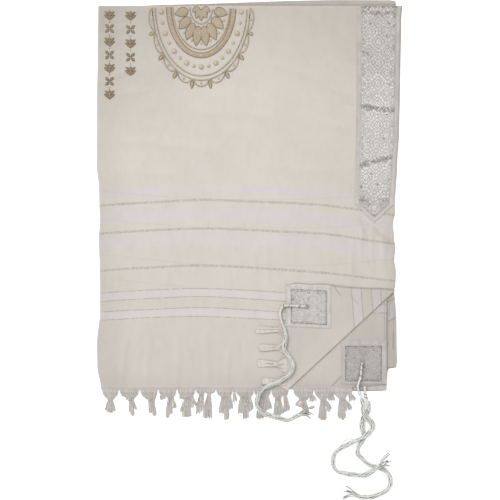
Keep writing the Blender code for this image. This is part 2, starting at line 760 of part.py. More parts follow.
def make_fringe(name, table, start, end, place, root_z, ground, finish=FRINGE_YARN):
    """A strip along a hem with its knotted locks. place(across, out) gives x and y."""
    points, faces = [], []

    def point(across, out, z):
        x, y = place(across, out)
        points.append((x, y, z))
        return len(points) - 1

    def wide_row(centre, out, width, thickness, z, count):
        """Upper and lower points of one section of a knot, left to right."""
        upper, lower = [], []
        for i in range(count + 1):
            across = centre + width * (i / count - 0.5)
            upper.append(point(across, out, z + thickness / 2))
            lower.append(point(across, out, z - thickness / 2))
        return upper, lower

    strip_out = GAP + FRINGE_STRIP
    back_upper, back_lower = [], []
    front_upper, front_lower = [], []
    roots = []
    edges = []
    for row in table:
        count = len(row[3])
        roots.append((len(edges), len(edges) + count))
        edges += [row[0] + (row[1] - row[0]) * i / count for i in range(count + 1)]
    edges = [start, *edges, end]
    for across in edges:
        z = root_z(across)
        back_upper.append(point(across, GAP, z + WALL))
        back_lower.append(point(across, GAP, z))
        front_upper.append(point(across, strip_out, z + WALL))
        front_lower.append(point(across, strip_out, z))
    last = len(edges) - 1
    rooted = {i for first, past in roots for i in range(first + 1, past + 1)}
    for i in range(last):
        faces.append((back_upper[i], front_upper[i], front_upper[i + 1], back_upper[i + 1]))
        faces.append((back_lower[i], back_lower[i + 1], front_lower[i + 1], front_lower[i]))
        faces.append((back_upper[i], back_upper[i + 1], back_lower[i + 1], back_lower[i]))
        if i not in rooted:
            faces.append((front_upper[i], front_lower[i], front_lower[i + 1], front_upper[i + 1]))
    faces.append((back_upper[0], back_lower[0], front_lower[0], front_upper[0]))
    faces.append((back_upper[last], front_upper[last], front_lower[last], back_lower[last]))

    for (root_from, root_to, (knot_across, knot_out), tips), (first, past) in zip(table, roots):
        count = len(tips)
        upper = front_upper[first + 1 : past + 2]
        lower = front_lower[first + 1 : past + 2]
        middle = (root_from + root_to) / 2
        root_height = root_z(middle) + WALL / 2
        knot_ground = ground(*place(knot_across, knot_out))
        tip_ground = [ground(*place(*tip)) for tip in tips]
        knot_z = knot_ground + LOCK_CLEARANCE + KNOT_SIZES[1][1] / 2
        knot_z = max(knot_z, root_height - 0.0030 - 0.04 * knot_out)
        for step, (width, thickness) in enumerate(KNOT_SIZES):
            out = knot_out + KNOT_LENGTH * (step / 2 - 0.5)
            out = max(out, strip_out + 0.0012 * (step + 1))
            next_upper, next_lower = wide_row(knot_across, out, width, thickness, knot_z, count)
            ring = upper + lower[::-1]
            side_walls(faces, ring, next_upper + next_lower[::-1])
            upper, lower = next_upper, next_lower
            knot_end = out
        knot_width, knot_thick = KNOT_SIZES[-1]

        def lock_site(i, share):
            across = knot_across + knot_width * ((i + 0.5) / count - 0.5)
            tip_across, tip_out = tips[i]
            bow = math.sin(share * math.pi) * 0.0012
            return (
                across + (tip_across - across) * share ** 0.9,
                knot_end + (tip_out - knot_end) * share + bow,
            )

        for i in range(count):
            ring = [upper[i], upper[i + 1], lower[i + 1], lower[i]]
            for share in LOCK_SHARES[1:]:
                across, out = lock_site(i, share)
                near = [lock_site(j, share) for j in (i - 1, i + 1) if 0 <= j < count]
                room = min(abs(across - other[0]) for other in near)
                width = min(LOCK_WIDE, 0.78 * room)
                if share == 1.0:
                    width *= 0.55
                thick = LOCK_THICK + (LOCK_TIP_THICK - LOCK_THICK) * share
                low = tip_ground[i] + LOCK_CLEARANCE + thick / 2
                z = knot_z + (low - knot_z) * min(1.0, share * 1.25)
                following = [
                    point(across - width / 2, out, z + thick / 2),
                    point(across + width / 2, out, z + thick / 2),
                    point(across + width / 2, out, z - thick / 2),
                    point(across - width / 2, out, z - thick / 2),
                ]
                side_walls(faces, ring, following)
                ring = following
            faces.append(tuple(ring))
    part = add_object(name, points, faces, finish)
    face_outwards(part)
    return part


def face_outwards(part):
    """Turns a closed mesh's faces outwards."""
    shape = bmesh.new()
    shape.from_mesh(part.data)
    bmesh.ops.recalc_face_normals(shape, faces=shape.faces)
    shape.to_mesh(part.data)
    shape.free()


def make_fringes():
    make_fringe(
        "fringe_front",
        FRONT_FRINGE,
        -0.3700,
        0.0838,
        lambda across, out: (across, HEM - out),
        lambda across: front_under(across, HEM),
        lambda x, y: 0.0,
    )
    make_fringe(
        "fringe_second",
        SECOND_FRINGE,
        0.0960,
        0.2476,
        lambda across, out: (across, straight(SECOND_HEM, min(across, 0.2480)) - out),
        lambda across: SECOND_BASE,
        lambda x, y: 0.0,
    )
    down = (FOLD_B - fold_outward() * FOLD_OUTER - FLAP_CORNER).normalized()
    make_fringe(
        "fringe_flap",
        FLAP_FRINGE,
        FLAP_FRINGE_FROM,
        FLAP_FRINGE_TO,
        lambda across, out: tuple(FLAP_CORNER + down * across + Vector((-out, 0.0))),
        lambda across: flap_under(*(FLAP_CORNER + down * across)),
        lambda x, y: front_top(x, y),
    )


# ---------------------------------------------------------------- corner tassels


def travel_frame(points, i):
    """The direction of travel at point i, its level side and its upward side."""
    before, after = points[max(i - 1, 0)], points[min(i + 1, len(points) - 1)]
    forward = (after - before).normalized()
    side = forward.cross(Vector((0, 0, 1))).normalized()
    return forward, side, side.cross(forward)


def make_tassel(name, route, head_length):
    """A wound head and eight strands that part from its end and twist round each other."""
    count = 400
    line, length = spaced(route, count)
    head_end = round(head_length / length * (count - 1))
    points, faces = [], []
    across, deep = STRANDS_ACROSS, STRANDS_DEEP

    def section(i, wide, high):
        """The grid of points across the head, columns by rows, rounded at its corners."""
        forward, side, up = travel_frame(line, i)
        grid = {}
        for column in range(across + 1):
            for row in range(deep + 1):
                u = 2 * column / across - 1
                w = 2 * row / deep - 1
                round_in = math.sqrt(max(1.0, u * u + w * w * 0.8))
                here = line[i] + side * (wide * u / round_in) + up * (high * w / round_in)
                points.append(here)
                grid[column, row] = len(points) - 1
        return grid

    def rim(grid):
        sites = [(c, 0) for c in range(across)] + [(across, r) for r in range(deep)]
        sites += [(c, deep) for c in range(across, 0, -1)] + [(0, r) for r in range(deep, 0, -1)]
        return [grid[site] for site in sites]

    def cells():
        return [(c, r) for c in range(across) for r in range(deep)]

    def cell_ring(grid, c, r):
        return [grid[c, r], grid[c + 1, r], grid[c + 1, r + 1], grid[c, r + 1]]

    first = section(0, HEAD_WIDE * 0.6, HEAD_HIGH * 0.6)
    for c, r in cells():
        faces.append(tuple(cell_ring(first, c, r)))
    before = first
    for ring in range(1, HEAD_RINGS + 1):
        after = section(head_end * ring // HEAD_RINGS, HEAD_WIDE, HEAD_HIGH)
        side_walls(faces, rim(before)[::-1], rim(after)[::-1])
        before = after

    step = length / (count - 1)
    parting = count - 1 - round(TIP_LENGTH / step)
    body_rings = STRAND_RINGS - TIP_RINGS
    for c, r in cells():
        ring = cell_ring(before, c, r)[::-1]
        phase = math.pi * (across - c - 0.5) / across
        phase = phase if r == 1 else -phase
        shortening = TIP_SHORTENING * ((c * 3 + r * 5) % 7) / 6
        tip = count - 1 - round(shortening / step)
        stations = [head_end + (parting - head_end) * k / body_rings for k in range(1, body_rings + 1)]
        stations += [parting + (tip - parting) * k / TIP_RINGS for k in range(1, TIP_RINGS + 1)]
        for at in stations:
            i = round(at)
            forward, side, up = travel_frame(line, i)
            turn = phase + 2 * math.pi * (i - stations[0]) * step / BUNDLE_TWIST_LENGTH
            flare = max(0.0, (i - parting) / (count - 1 - parting))
            wide = BUNDLE_WIDE + TIP_SPREAD * flare
            centre = line[i] + side * (wide * math.cos(turn)) + up * (BUNDLE_HIGH * math.sin(turn))
            ids = []
            for right_by, up_by in ((-1, 1), (1, 1), (1, -1), (-1, -1)):
                points.append(centre + (side * right_by + up * up_by) * STRAND_RADIUS)
                ids.append(len(points) - 1)
            side_walls(faces, ring, ids)
            ring = ids
        faces.append(tuple(ring))
    used = sorted({i for face in faces for i in face})
    renumber = {old: new for new, old in enumerate(used)}
    part = add_object(
        name,
        [points[i] for i in used],
        [tuple(renumber[i] for i in face) for face in faces],
        TASSEL_CORD,
    )
    face_outwards(part)
    return part


def main():
    clear_scene()
    make_lower_layers()
    make_second_layer()
    make_front_panel()
    make_corner_flap()
    make_collar()
    to_right = (FOLD_A - FLAP_CORNER).normalized()
    to_left_hem = (FOLD_B - FLAP_CORNER).normalized()
    make_patch("front", FLAP_CORNER, to_right, to_left_hem, lambda x, y: flap_under(x, y) + WALL)
    make_patch(
        "second",
        SECOND_PATCH_CORNER,
        Vector((1, 0)),
        Vector((0, -1)),
        lambda x, y: SECOND_BASE + WALL,
    )
    make_third_ribbon()
    make_fringes()
    make_tassel("tassel_front", FRONT_TASSEL, FRONT_TASSEL_HEAD)
    make_tassel("tassel_second", SECOND_TASSEL, SECOND_TASSEL_HEAD)
    make_tassel("tassel_third", THIRD_TASSEL, THIRD_TASSEL_HEAD)


main()
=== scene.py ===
import math
import random

import bpy
import numpy as np
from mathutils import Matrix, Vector


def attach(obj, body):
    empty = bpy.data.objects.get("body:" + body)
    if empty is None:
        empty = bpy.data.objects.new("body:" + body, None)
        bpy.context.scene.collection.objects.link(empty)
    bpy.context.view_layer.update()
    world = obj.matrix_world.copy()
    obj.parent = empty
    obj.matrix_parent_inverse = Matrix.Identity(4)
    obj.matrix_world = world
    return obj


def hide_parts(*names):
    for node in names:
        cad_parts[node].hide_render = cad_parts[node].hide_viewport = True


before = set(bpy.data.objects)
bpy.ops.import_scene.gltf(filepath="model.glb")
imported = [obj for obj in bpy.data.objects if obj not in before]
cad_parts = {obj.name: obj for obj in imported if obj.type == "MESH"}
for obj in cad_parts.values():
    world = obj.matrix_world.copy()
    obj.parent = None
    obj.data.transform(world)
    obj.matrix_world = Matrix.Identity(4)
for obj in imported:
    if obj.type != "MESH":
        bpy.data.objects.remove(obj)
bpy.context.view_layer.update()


def tenths(*rows):
    # metres, from measures written in tenths of a millimetre
    return tuple(tenths(*row) if isinstance(row, tuple) else row / 10000 for row in rows)


def worked(operation, swapped=False):
    # how a sign or a function acts on signals
    def act(self, *others):
        values = (*others, self) if swapped else (self, *others)
        return self.maker.sum(operation, *values)

    return act


class Signal:
    # a number that changes over a surface, written with the usual signs
    def __init__(self, maker, socket):
        self.maker = maker
        self.socket = socket

    __add__, __radd__ = worked("ADD"), worked("ADD", True)
    __sub__, __rsub__ = worked("SUBTRACT"), worked("SUBTRACT", True)
    __mul__, __rmul__ = worked("MULTIPLY"), worked("MULTIPLY", True)
    __abs__, sin = worked("ABSOLUTE"), worked("SINE")
    most, least = worked("MAXIMUM"), worked("MINIMUM")

    def rise(self, start, end):
        # 0 before start, 1 past end, smooth between
        values = {"Value": self, "From Min": start, "From Max": end}
        return self.maker.signal("ShaderNodeMapRange", values, {"interpolation_type": "SMOOTHSTEP"})

    def within(self, low, high, soft):
        return self.rise(low - soft, low + soft) * (1 - self.rise(high - soft, high + soft))


class Maker:
    # adds nodes to a tree of either kind
    def __init__(self, tree):
        self.tree = tree

    def add(self, kind, values=None, settings=None):
        node = self.tree.nodes.new(kind)
        for name, value in (settings or {}).items():
            setattr(node, name, value)
        for key, value in (values or {}).items():
            value = value.socket if isinstance(value, Signal) else value
            if isinstance(value, bpy.types.NodeSocket):
                self.tree.links.new(value, node.inputs[key])
            else:
                node.inputs[key].default_value = value
        return node

    def out(self, kind, values=None, settings=None, output=0):
        return self.add(kind, values, settings).outputs[output]

    def signal(self, *given):
        return Signal(self, self.out(*given))

    def sum(self, operation, *values):
        return self.signal("ShaderNodeMath", dict(enumerate(values)), {"operation": operation})


class Finish(Maker):
    # a material on the standard shader
    def __init__(self, name, roughness, metallic=0.0, sheen=0.0):
        self.material = bpy.data.materials.new(name)
        self.material.use_nodes = True
        super().__init__(self.material.node_tree)
        self.shader = self.tree.nodes["Principled BSDF"].inputs
        self.shader["Roughness"].default_value = roughness
        self.shader["Metallic"].default_value = metallic
        self.shader["Sheen Weight"].default_value = sheen
        self.shader["Specular IOR Level"].default_value = 0.3

    def flow(self, name):
        # across and along the cloth, in metres
        where = self.out("ShaderNodeUVMap", None, {"uv_map": name})
        parts = self.add("ShaderNodeSeparateXYZ", {0: where}).outputs
        return Signal(self, parts[0]), Signal(self, parts[1])

    def cloud(self, scale, detail=2.0, stretch=(1.0, 1.0, 1.0)):
        # random change from 0 to 1, with so many grains to the metre
        where = self.out("ShaderNodeTexCoord", None, None, "Object")
        pulled = self.out("ShaderNodeVectorMath", {0: where, 1: stretch}, {"operation": "MULTIPLY"})
        values = {"Vector": pulled, "Scale": scale, "Detail": detail}
        return self.signal("ShaderNodeTexNoise", values, None, "Fac")

    def own(self, name):
        # a number that the mesh carries
        return self.signal("ShaderNodeAttribute", None, {"attribute_name": name}, "Fac")

    def blend(self, share, first, second):
        first, second = ((*c, 1.0) if isinstance(c, tuple) else c for c in (first, second))
        return self.out("ShaderNodeMix", {0: share, 6: first, 7: second}, {"data_type": "RGBA"}, 2)

    def feed(self, name, value):
        value = value.socket if isinstance(value, Signal) else value
        self.tree.links.new(value, self.shader[name])

    def relief(self, height, depth, strength):
        values = {"Height": height, "Distance": depth, "Strength": strength}
        self.feed("Normal", self.out("ShaderNodeBump", values))


def shown(name, mesh, finish):
    piece = bpy.data.objects.new(name, mesh)
    mesh.materials.clear()
    mesh.materials.append(finish.material)
    bpy.context.scene.collection.objects.link(piece)
    return piece


def shell(name, points, faces, maps, finish):
    mesh = bpy.data.meshes.new(name)
    mesh.from_pydata([tuple(p) for p in points], [], faces)
    loops = np.empty(len(mesh.loops), dtype=np.int32)
    mesh.loops.foreach_get("vertex_index", loops)
    for mapName, values in maps.items():
        layer = mesh.uv_layers.new(name=mapName)
        layer.data.foreach_set("uv", np.asarray(values)[loops].astype(np.float32).ravel())
    mesh.polygons.foreach_set("use_smooth", [True] * len(mesh.polygons))
    mesh.update()
    return shown(name, mesh, finish)


edgeTurn = ((0.0002, 0.25), (0.0003, 0.6), (0.0, 0.95), (-0.0035, 1.0))  # out, share of the wall


def turnedUnder(grid, maps, sides, wall):
    # gives a sheet's edges the thickness of its cloth
    for side in sides:
        axis = 1 if side in ("left", "right") else 0
        last = side in ("right", "bottom")

        def edged(body, rims):
            rims = np.stack(rims if last else rims[::-1], axis)
            return np.concatenate([body, rims] if last else [rims, body], axis)

        edge, inner = (np.take(grid, -k if last else k - 1, axis) for k in (1, 2))
        outward = edge - inner
        outward[..., 2] = 0
        outward /= np.maximum(np.linalg.norm(outward, axis=-1, keepdims=True), 1e-9)
        grid = edged(grid, [edge + outward * out - np.array((0, 0, wall * s)) for out, s in edgeTurn])
        end = -1 if last else 0
        for name, values in list(maps.items()):
            maps[name] = edged(values, [np.take(values, end, axis)] * len(edgeTurn))
    return grid, maps


def gridSheet(name, grid, maps, finish, sides=(), wall=0.0):
    grid, maps = turnedUnder(grid, maps, sides, wall)
    rows, columns = grid.shape[:2]
    starts = (r * columns + c for r in range(rows - 1) for c in range(columns - 1))
    faces = [(k, k + columns, k + columns + 1, k + 1) for k in starts]
    maps = {key: values.reshape(-1, 2) for key, values in maps.items()}
    return shell(name, grid.reshape(-1, 3), faces, maps, finish)


def dressed(piece, slot, *nodes):
    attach(piece, "root")
    for node in nodes:
        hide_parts(node)
    return piece


def spanAt(at, places):
    at = np.clip(at, places[0], places[-1])
    return at, np.clip(np.searchsorted(places, at, side="right") - 1, 0, len(places) - 2)


def eased(rows, at):
    # a smooth value from rows of (place, value)
    places, values = np.array(sorted(rows)).T
    at, i = spanAt(at, places)
    share = (at - places[i]) / (places[i + 1] - places[i])
    return values[i] + (values[i + 1] - values[i]) * share * share * (3 - 2 * share)


def flowing(at, places, values):
    # a smooth line through the values, with the slopes their neighbours give
    places, values = np.array(places), np.array(values)
    slopes = np.gradient(values, places)
    at, i = spanAt(at, places)
    span = places[i + 1] - places[i]
    t = (at - places[i]) / span
    rise = values[i + 1] - values[i]
    bend = t * (1 - t) * ((1 - t) * (slopes[i] * span - rise) - t * (slopes[i + 1] * span - rise))
    return values[i] + rise * t + bend


def stepped(x, at, soft):
    # 0 well below a place and 1 well past it
    return 1 / (1 + np.exp(-(x - at) / soft))


def curvePoint(route, share):
    spans = len(route) - 1
    at = min(max(share, 0.0), 1.0) * spans
    span = min(int(at), spans - 1)
    t = at - span
    p0, p1, p2, p3 = (Vector(route[min(max(span + i, 0), spans)]) for i in (-1, 0, 1, 2))
    return 0.5 * (
        2 * p1
        + (p2 - p0) * t
        + (2 * p0 - 5 * p1 + 4 * p2 - p3) * t * t
        + (3 * p1 - p0 - 3 * p2 + p3) * t * t * t
    )


def curveLine(route, samples):
    return [curvePoint(route, k / samples) for k in range(samples + 1)]


def spacedOut(route, count, samples):
    # count points at even lengths along the smooth curve, and the curve's length
    fine = curveLine(route, samples)
    lengths = [0.0]
    for before, after in zip(fine, fine[1:]):
        lengths.append(lengths[-1] + (after - before).length)
    points = []
    k = 0
    for i in range(count):
        wanted = lengths[-1] * i / (count - 1)
        while k < samples - 1 and lengths[k + 1] < wanted:
            k += 1
        span = max(lengths[k + 1] - lengths[k], 1e-9)
        points.append(fine[k].lerp(fine[k + 1], min((wanted - lengths[k]) / span, 1.0)))
    return points, lengths[-1]


# geometry trees: yarn along lines, and small studs on points
def newTree(name, inputs):
    tree = bpy.data.node_groups.new(name, "GeometryNodeTree")
    for label, kind in {"Source": "Geometry", **inputs, "Material": "Material"}.items():
        tree.interface.new_socket(label, in_out="INPUT", socket_type="NodeSocket" + kind)
    tree.interface.new_socket("Result", in_out="OUTPUT", socket_type="NodeSocketGeometry")
    maker = Maker(tree)
    return maker, maker.add("NodeGroupInput").outputs


def closeTree(maker, source, shape):
    real = maker.out("GeometryNodeRealizeInstances", {0: shape})
    values = {"Geometry": real, "Material": source["Material"]}
    maker.add("NodeGroupOutput", {0: maker.out("GeometryNodeSetMaterial", values)})
    return maker.tree


def notedSideShade(maker, shape):
    # smooths it and notes how far each place turns away from straight up, for painted shade on the sides
    smooth = maker.out("GeometryNodeSetShadeSmooth", {"Geometry": shape})
    facing = maker.out("GeometryNodeInputNormal")
    up = maker.signal("ShaderNodeSeparateXYZ", {0: facing}, None, 2)
    values = {"Geometry": smooth, "Name": "side", "Value": 1 - up.most(0.0)}
    settings = {"data_type": "FLOAT", "domain": "POINT"}
    return maker.out("GeometryNodeStoreNamedAttribute", values, settings)


def yarnTree():
    # a laid yarn: a star section that turns as it goes along each line
    inputs = {"Thickness": "Float", "Groove": "Float", "Plies": "Int", "Turns Per Metre": "Float"}
    maker, source = newTree("laid yarn", inputs)
    line = maker.out("GeometryNodeMeshToCurve", {"Mesh": source["Source"]})
    along = maker.signal("GeometryNodeSplineParameter", None, None, "Length")
    turn = along * Signal(maker, source["Turns Per Metre"])
    tilted = maker.out("GeometryNodeSetCurveTilt", {"Curve": line, "Tilt": turn * math.tau})
    outer = Signal(maker, source["Thickness"]) * 0.5
    inner = outer * (1 - Signal(maker, source["Groove"]))
    star = {"Points": source["Plies"], "Inner Radius": inner, "Outer Radius": outer}
    section = maker.out("GeometryNodeCurveStar", star, None, "Curve")
    swept = {"Curve": tilted, "Profile Curve": section, "Fill Caps": True}
    return closeTree(maker, source, notedSideShade(maker, maker.out("GeometryNodeCurveToMesh", swept)))


def studTree():
    # a rounded stud on each point, turned and sized by the point's own values
    inputs = dict.fromkeys(("Length", "Width", "Height", "Unevenness"), "Float")
    maker, source = newTree("studs", {**inputs, "Detail": "Int", "Seed": "Int"})
    ball = maker.out("GeometryNodeMeshIcoSphere", {"Radius": 0.5, "Subdivisions": source["Detail"]})
    sides = {"X": source["Length"], "Y": source["Width"], "Z": source["Height"]}
    sides = maker.out("ShaderNodeCombineXYZ", sides)
    ready = notedSideShade(maker, maker.out("GeometryNodeTransform", {"Geometry": ball, "Scale": sides}))
    kind = "GeometryNodeInputNamedAttribute"
    turn, size, long = (
        maker.signal(kind, {"Name": name}, {"data_type": "FLOAT"}, "Attribute")
        for name in ("turn", "size", "long")
    )
    spread = Signal(maker, source["Unevenness"])
    chance = {2: 0 - spread, 3: spread, "Seed": source["Seed"]}
    wobble = maker.signal("FunctionNodeRandomValue", chance, {"data_type": "FLOAT"}, 1)
    turning = maker.out("ShaderNodeCombineXYZ", {"Z": turn + wobble})
    growth = size * (1 + wobble)
    scale = maker.out("ShaderNodeCombineXYZ", {"X": growth * long, "Y": growth, "Z": growth})
    points = maker.out("GeometryNodeMeshToPoints", {"Mesh": source["Source"], "Radius": 0.001})
    values = {"Points": points, "Instance": ready, "Rotation": turning, "Scale": scale}
    return closeTree(maker, source, maker.out("GeometryNodeInstanceOnPoints", values))


def grown(name, mesh, tree, values, finish):
    # runs a tree on a mesh and keeps what it makes as a plain mesh
    seedbed = bpy.data.objects.new(name + " lines", mesh)
    bpy.context.scene.collection.objects.link(seedbed)
    modifier = seedbed.modifiers.new("grow", "NODES")
    modifier.node_group = tree
    values = dict(values, Material=finish.material)
    for item in tree.interface.items_tree:
        if item.in_out == "INPUT" and item.name in values:
            modifier[item.identifier] = values[item.name]
    seedbed.update_tag()
    graph = bpy.context.evaluated_depsgraph_get()
    made = bpy.data.meshes.new_from_object(seedbed.evaluated_get(graph))
    seedbed.modifiers.clear()
    bpy.data.objects.remove(seedbed, do_unlink=True)
    made.name = name
    return shown(name, made, finish)


def yarns(name, lines, thickness, groove, turns, finish):
    # lines are (points, closed, tone), where tone may change along the line
    points, edges, tones = [], [], []
    for line, closed, tone in lines:
        first = len(points)
        points += [tuple(p) for p in line]
        tones += tone if isinstance(tone, list) else [tone] * len(line)
        edges += [(i, i + 1) for i in range(first, len(points) - 1)]
        if closed:
            edges.append((len(points) - 1, first))
    mesh = bpy.data.meshes.new(name + " lines")
    mesh.from_pydata(points, edges, [])
    mesh.attributes.new("tone", "FLOAT", "POINT").data.foreach_set("value", tones)
    values = {"Thickness": thickness, "Groove": groove, "Plies": 3, "Turns Per Metre": turns}
    return grown(name, mesh, yarnMaker, values, finish)


def studs(name, sites, sides, detail, unevenness, seed, finish):
    # sites are (x, y, z, turn, size, tone), and a length where it is not 1
    mesh = bpy.data.meshes.new(name + " points")
    mesh.from_pydata([site[:3] for site in sites], [], [])
    for k, label in enumerate(("turn", "size", "tone", "long"), 3):
        column = mesh.attributes.new(label, "FLOAT", "POINT")
        column.data.foreach_set("value", [site[k] if k < len(site) else 1.0 for site in sites])
    values = dict(zip(("Length", "Width", "Height"), sides))
    values.update(Detail=detail, Unevenness=unevenness, Seed=seed)
    return grown(name, mesh, studMaker, values, finish)


stitch = {"sides": (0.0022, 0.0009, 0.0006), "detail": 1, "unevenness": 0.08}


def stitches(name, sites, seed):
    look = threadLook["sewing thread"]
    return studs(name, sites, stitch["sides"], stitch["detail"], stitch["unevenness"], seed, look)


yarnMaker, studMaker = yarnTree(), studTree()
print("trees built")


# how the shawl lies
lay = {
    "wall": 0.0016,
    "gap": 0.0003,
    "hem": -0.349,
    "farFold": 0.611,
    "farRoll": 0.0035,
    "rollFloor": 0.0002,
    "secondBase": 0.0038,
    "frontBase": 0.0057,
    "leftFold": tenths(  # y, x
        (6110, -3797), (4750, -3812), (3750, -3832), (2120, -3832), (1500, -3777), (700, -3759),
        (250, -3784), (-500, -3759), (-1500, -3752), (-2370, -3832), (-2880, -3822), (-3490, -3727),
    ),
    "rightEdge": tenths(  # y, x
        (6110, 3805), (5750, 3775), (4000, 3748), (3000, 3725), (2000, 3672), (1550, 3642),
        (1250, 3616), (950, 3622), (650, 3570), (350, 3593), (50, 3628), (-250, 3602), (-550, 3643),
        (-1013, 3622),
    ),
    "folds": (  # centre, turn from +X, half length, half width, height
        (-0.30, -0.25, 78, 0.12, 0.060, 0.0014), (-0.12, 0.03, -5, 0.22, 0.040, 0.0013),
        (-0.10, -0.10, -7, 0.26, 0.045, 0.0012), (-0.20, 0.36, 62, 0.24, 0.070, 0.0012),
        (0.10, 0.22, 100, 0.20, 0.070, 0.0010), (0.30, 0.01, 96, 0.07, 0.040, 0.0010),
        (-0.22, -0.33, 84, 0.08, 0.045, 0.0010), (-0.06, -0.33, 92, 0.09, 0.045, 0.0009),
        (-0.345, 0.44, 86, 0.14, 0.035, 0.0010),
    ),
    "creases": tenths(  # from x, y, to x, y, half width, height
        (-2662, 1367, -1588, 1315, 15, 4), (-2812, 683, -1438, 585, 15, 4),
        (-3337, -150, -1237, -355, 16, 5), (-3262, -737, -1738, -900, 16, 4),
        (-462, -450, -387, -975, 22, -8), (112, 0, 163, -1000, 60, 8), (438, 100, 462, -950, 60, 7),
        (-2038, -450, -2087, -1000, 60, 6), (-3287, -500, -3312, -1000, 50, 6),
        (-3488, -625, -3513, -1250, 50, 5), (-213, -2250, -213, -2800, 30, -7),
        (-2487, -2000, -2587, -3350, 90, 9), (-1787, -2125, -1837, -3375, 90, 8),
        (-1113, -2000, -1038, -3350, 90, 9), (-537, -2500, -588, -3375, 70, 8),
        (213, -2375, 312, -3250, 70, 7), (-3113, -2250, -3212, -3250, 80, 8),
        (2378, 4725, 2637, 4600, 30, -7), (2313, 3650, 2687, 3575, 30, -9),
        (2013, 4050, 2562, 3800, 70, 8), (1713, 3300, 2513, 2950, 80, 7),
        (2687, 850, 2888, 550, 30, 8), (3013, 675, 3188, 350, 30, 9), (3337, 700, 3237, 450, 30, -7),
        (2812, 600, 2762, -300, 40, 9), (3038, 450, 3063, -625, 40, 8), (3287, 450, 3362, -450, 40, 9),
        (3488, 550, 3463, -300, 30, -8), (2562, 250, 2513, -875, 50, 8),
        (2313, 100, 2388, -750, 50, 6), (-2762, 6000, -3262, 5750, 40, 8),
        (-3038, 5650, -3713, 5300, 50, 8), (-2963, 4500, -3713, 4200, 50, 7),
        (-2487, 4050, -3038, 3825, 60, 7), (-3663, 5150, -3287, 4950, 40, -6),
        (-3738, 3750, -2737, 4050, 60, 6), (1263, 6000, 2562, 5250, 90, 7),
        (312, 4750, 2013, 4150, 120, 7), (-1738, 3500, 1263, 3300, 120, 6),
        (-3237, 2750, -737, 2500, 120, 6), (-362, 2125, 2263, 1950, 120, 6),
        (-3488, 2000, -1738, 1850, 90, 5),
    ),
    "flapCreases": tenths(
        (2087, -900, 2300, -1150, 14, 9), (2300, -1150, 2538, -1175, 14, 8),
        (2038, -1375, 2538, -1438, 30, 5), (2063, -1650, 2562, -1713, 30, 4),
        (1163, -2000, 1188, -2500, 50, 6), (1562, -2000, 1638, -2375, 50, 5),
        (1338, -2250, 1812, -2550, 60, 5), (2388, -1325, 2412, -1800, 50, 5),
    ),
    "secondCreases": tenths(
        (2288, -3138, 2055, -3400, 14, 9), (2787, -1700, 2812, -2125, 50, 7),
        (2538, -2125, 2513, -2325, 40, 6), (3063, -1250, 3113, -2125, 40, 5),
        (1762, -2900, 1812, -3325, 50, 5),
    ),
    "collarCreases": tenths(
        (2755, 3595, 3720, 3475, 30, -6), (2755, 3640, 3720, 3520, 34, 7),
        (2730, 2090, 3660, 2335, 30, -6), (2730, 2135, 3660, 2380, 34, 7),
        (2740, 5050, 3000, 5030, 16, -6),
    ),
    # the lines below carry painted shade; the lowest edge's lines also raise small creases
    "frontLines": tenths(  # from x, y, to x, y
        (2695, 860, 2930, 270), (3050, 560, 3540, 150), (2890, -130, 3030, -480),
        (-4300, 6125, 4600, 6125), (-3100, 8000, -2700, 3350),
    ),
    "flapLines": tenths((2050, -880, 2290, -1160), (2480, -1090, 2700, -1350)),
    "secondLines": tenths((2300, -3130, 2050, -3400)),
    "edgingLines": tenths(
        (3583, -2030, 3580, -2480), (3500, -1300, 3480, -1680), (3625, -1150, 3632, -1700),
    ),
    "stripePlaces": tenths(-3813, -3362, -2487, -1237, 13, 762, 2013, 3262, 3813),
    "stripes": tenths(  # its height in the straight cloth, then where it lies at each place
        (1188, 1100, 1138, 1188, 1250, 1212, 1188, 1100, 925, 838),
        (488, 400, 438, 488, 537, 500, 462, 387, 200, 125),
        (-438, -525, -488, -438, -387, -438, -488, -588, -737, -800),
        (-1000, -1087, -1050, -1000, -963, -1013, -1062, -1163, -1275, -1325),
        (-1212, -1300, -1263, -1212, -1163, -1225, -1275, -1375, -1475, -1525),
        (-1487, -1550, -1525, -1487, -1438, -1500, -1550, -1650, -1750, -1800),
        (-1688, -1762, -1738, -1688, -1663, -1713, -1750, -1850, -1950, -2000),
    ),
    "belowPlaces": tenths(-3813, -3362, -2487, -1237, 13, 1013, 2013, 3262, 3813),
    "below": tenths(  # the same for what shows through from the next layer
        (1188, 1475, 1438, 1360, 1285, 1265, 1262, 1298, 1365, 1390),
        (488, 775, 730, 658, 570, 558, 553, 558, 670, 700),
        (-438, -108, -148, -233, -355, -375, -385, -362, -250, -200),
        (-1000, -688, -730, -822, -950, -1000, -1050, -1150, -1250, -1300),
    ),
}


def foldLift(x, y):
    lift = 0.0
    for atX, atY, turn, length, width, height in lay["folds"]:
        angle = math.radians(turn)
        u = (x - atX) * math.cos(angle) + (y - atY) * math.sin(angle)
        v = (y - atY) * math.cos(angle) - (x - atX) * math.sin(angle)
        lift = lift + height * np.exp(-((u / length) ** 2) - (v / width) ** 2)
    return lift


class Rumple:
    # soft uneven rises, with so much room for each
    def __init__(self, seed, roomAcross, roomAlong, turn, height):
        self.knots = np.random.RandomState(seed).uniform(-1, 1, (80, 80))
        self.room = (roomAcross, roomAlong)
        self.turn = math.radians(turn)
        self.height = height

    def lift(self, x, y):
        u = (x * math.cos(self.turn) + y * math.sin(self.turn)) / self.room[0] + 40
        v = (y * math.cos(self.turn) - x * math.sin(self.turn)) / self.room[1] + 40
        i, j = np.floor(u).astype(int), np.floor(v).astype(int)
        s, t = u - i, v - j
        s, t = s * s * (3 - 2 * s), t * t * (3 - 2 * t)
        low, high = (self.knots[i, j + k] * (1 - s) + self.knots[i + 1, j + k] * s for k in (0, 1))
        return self.height * (low * (1 - t) + high * t)


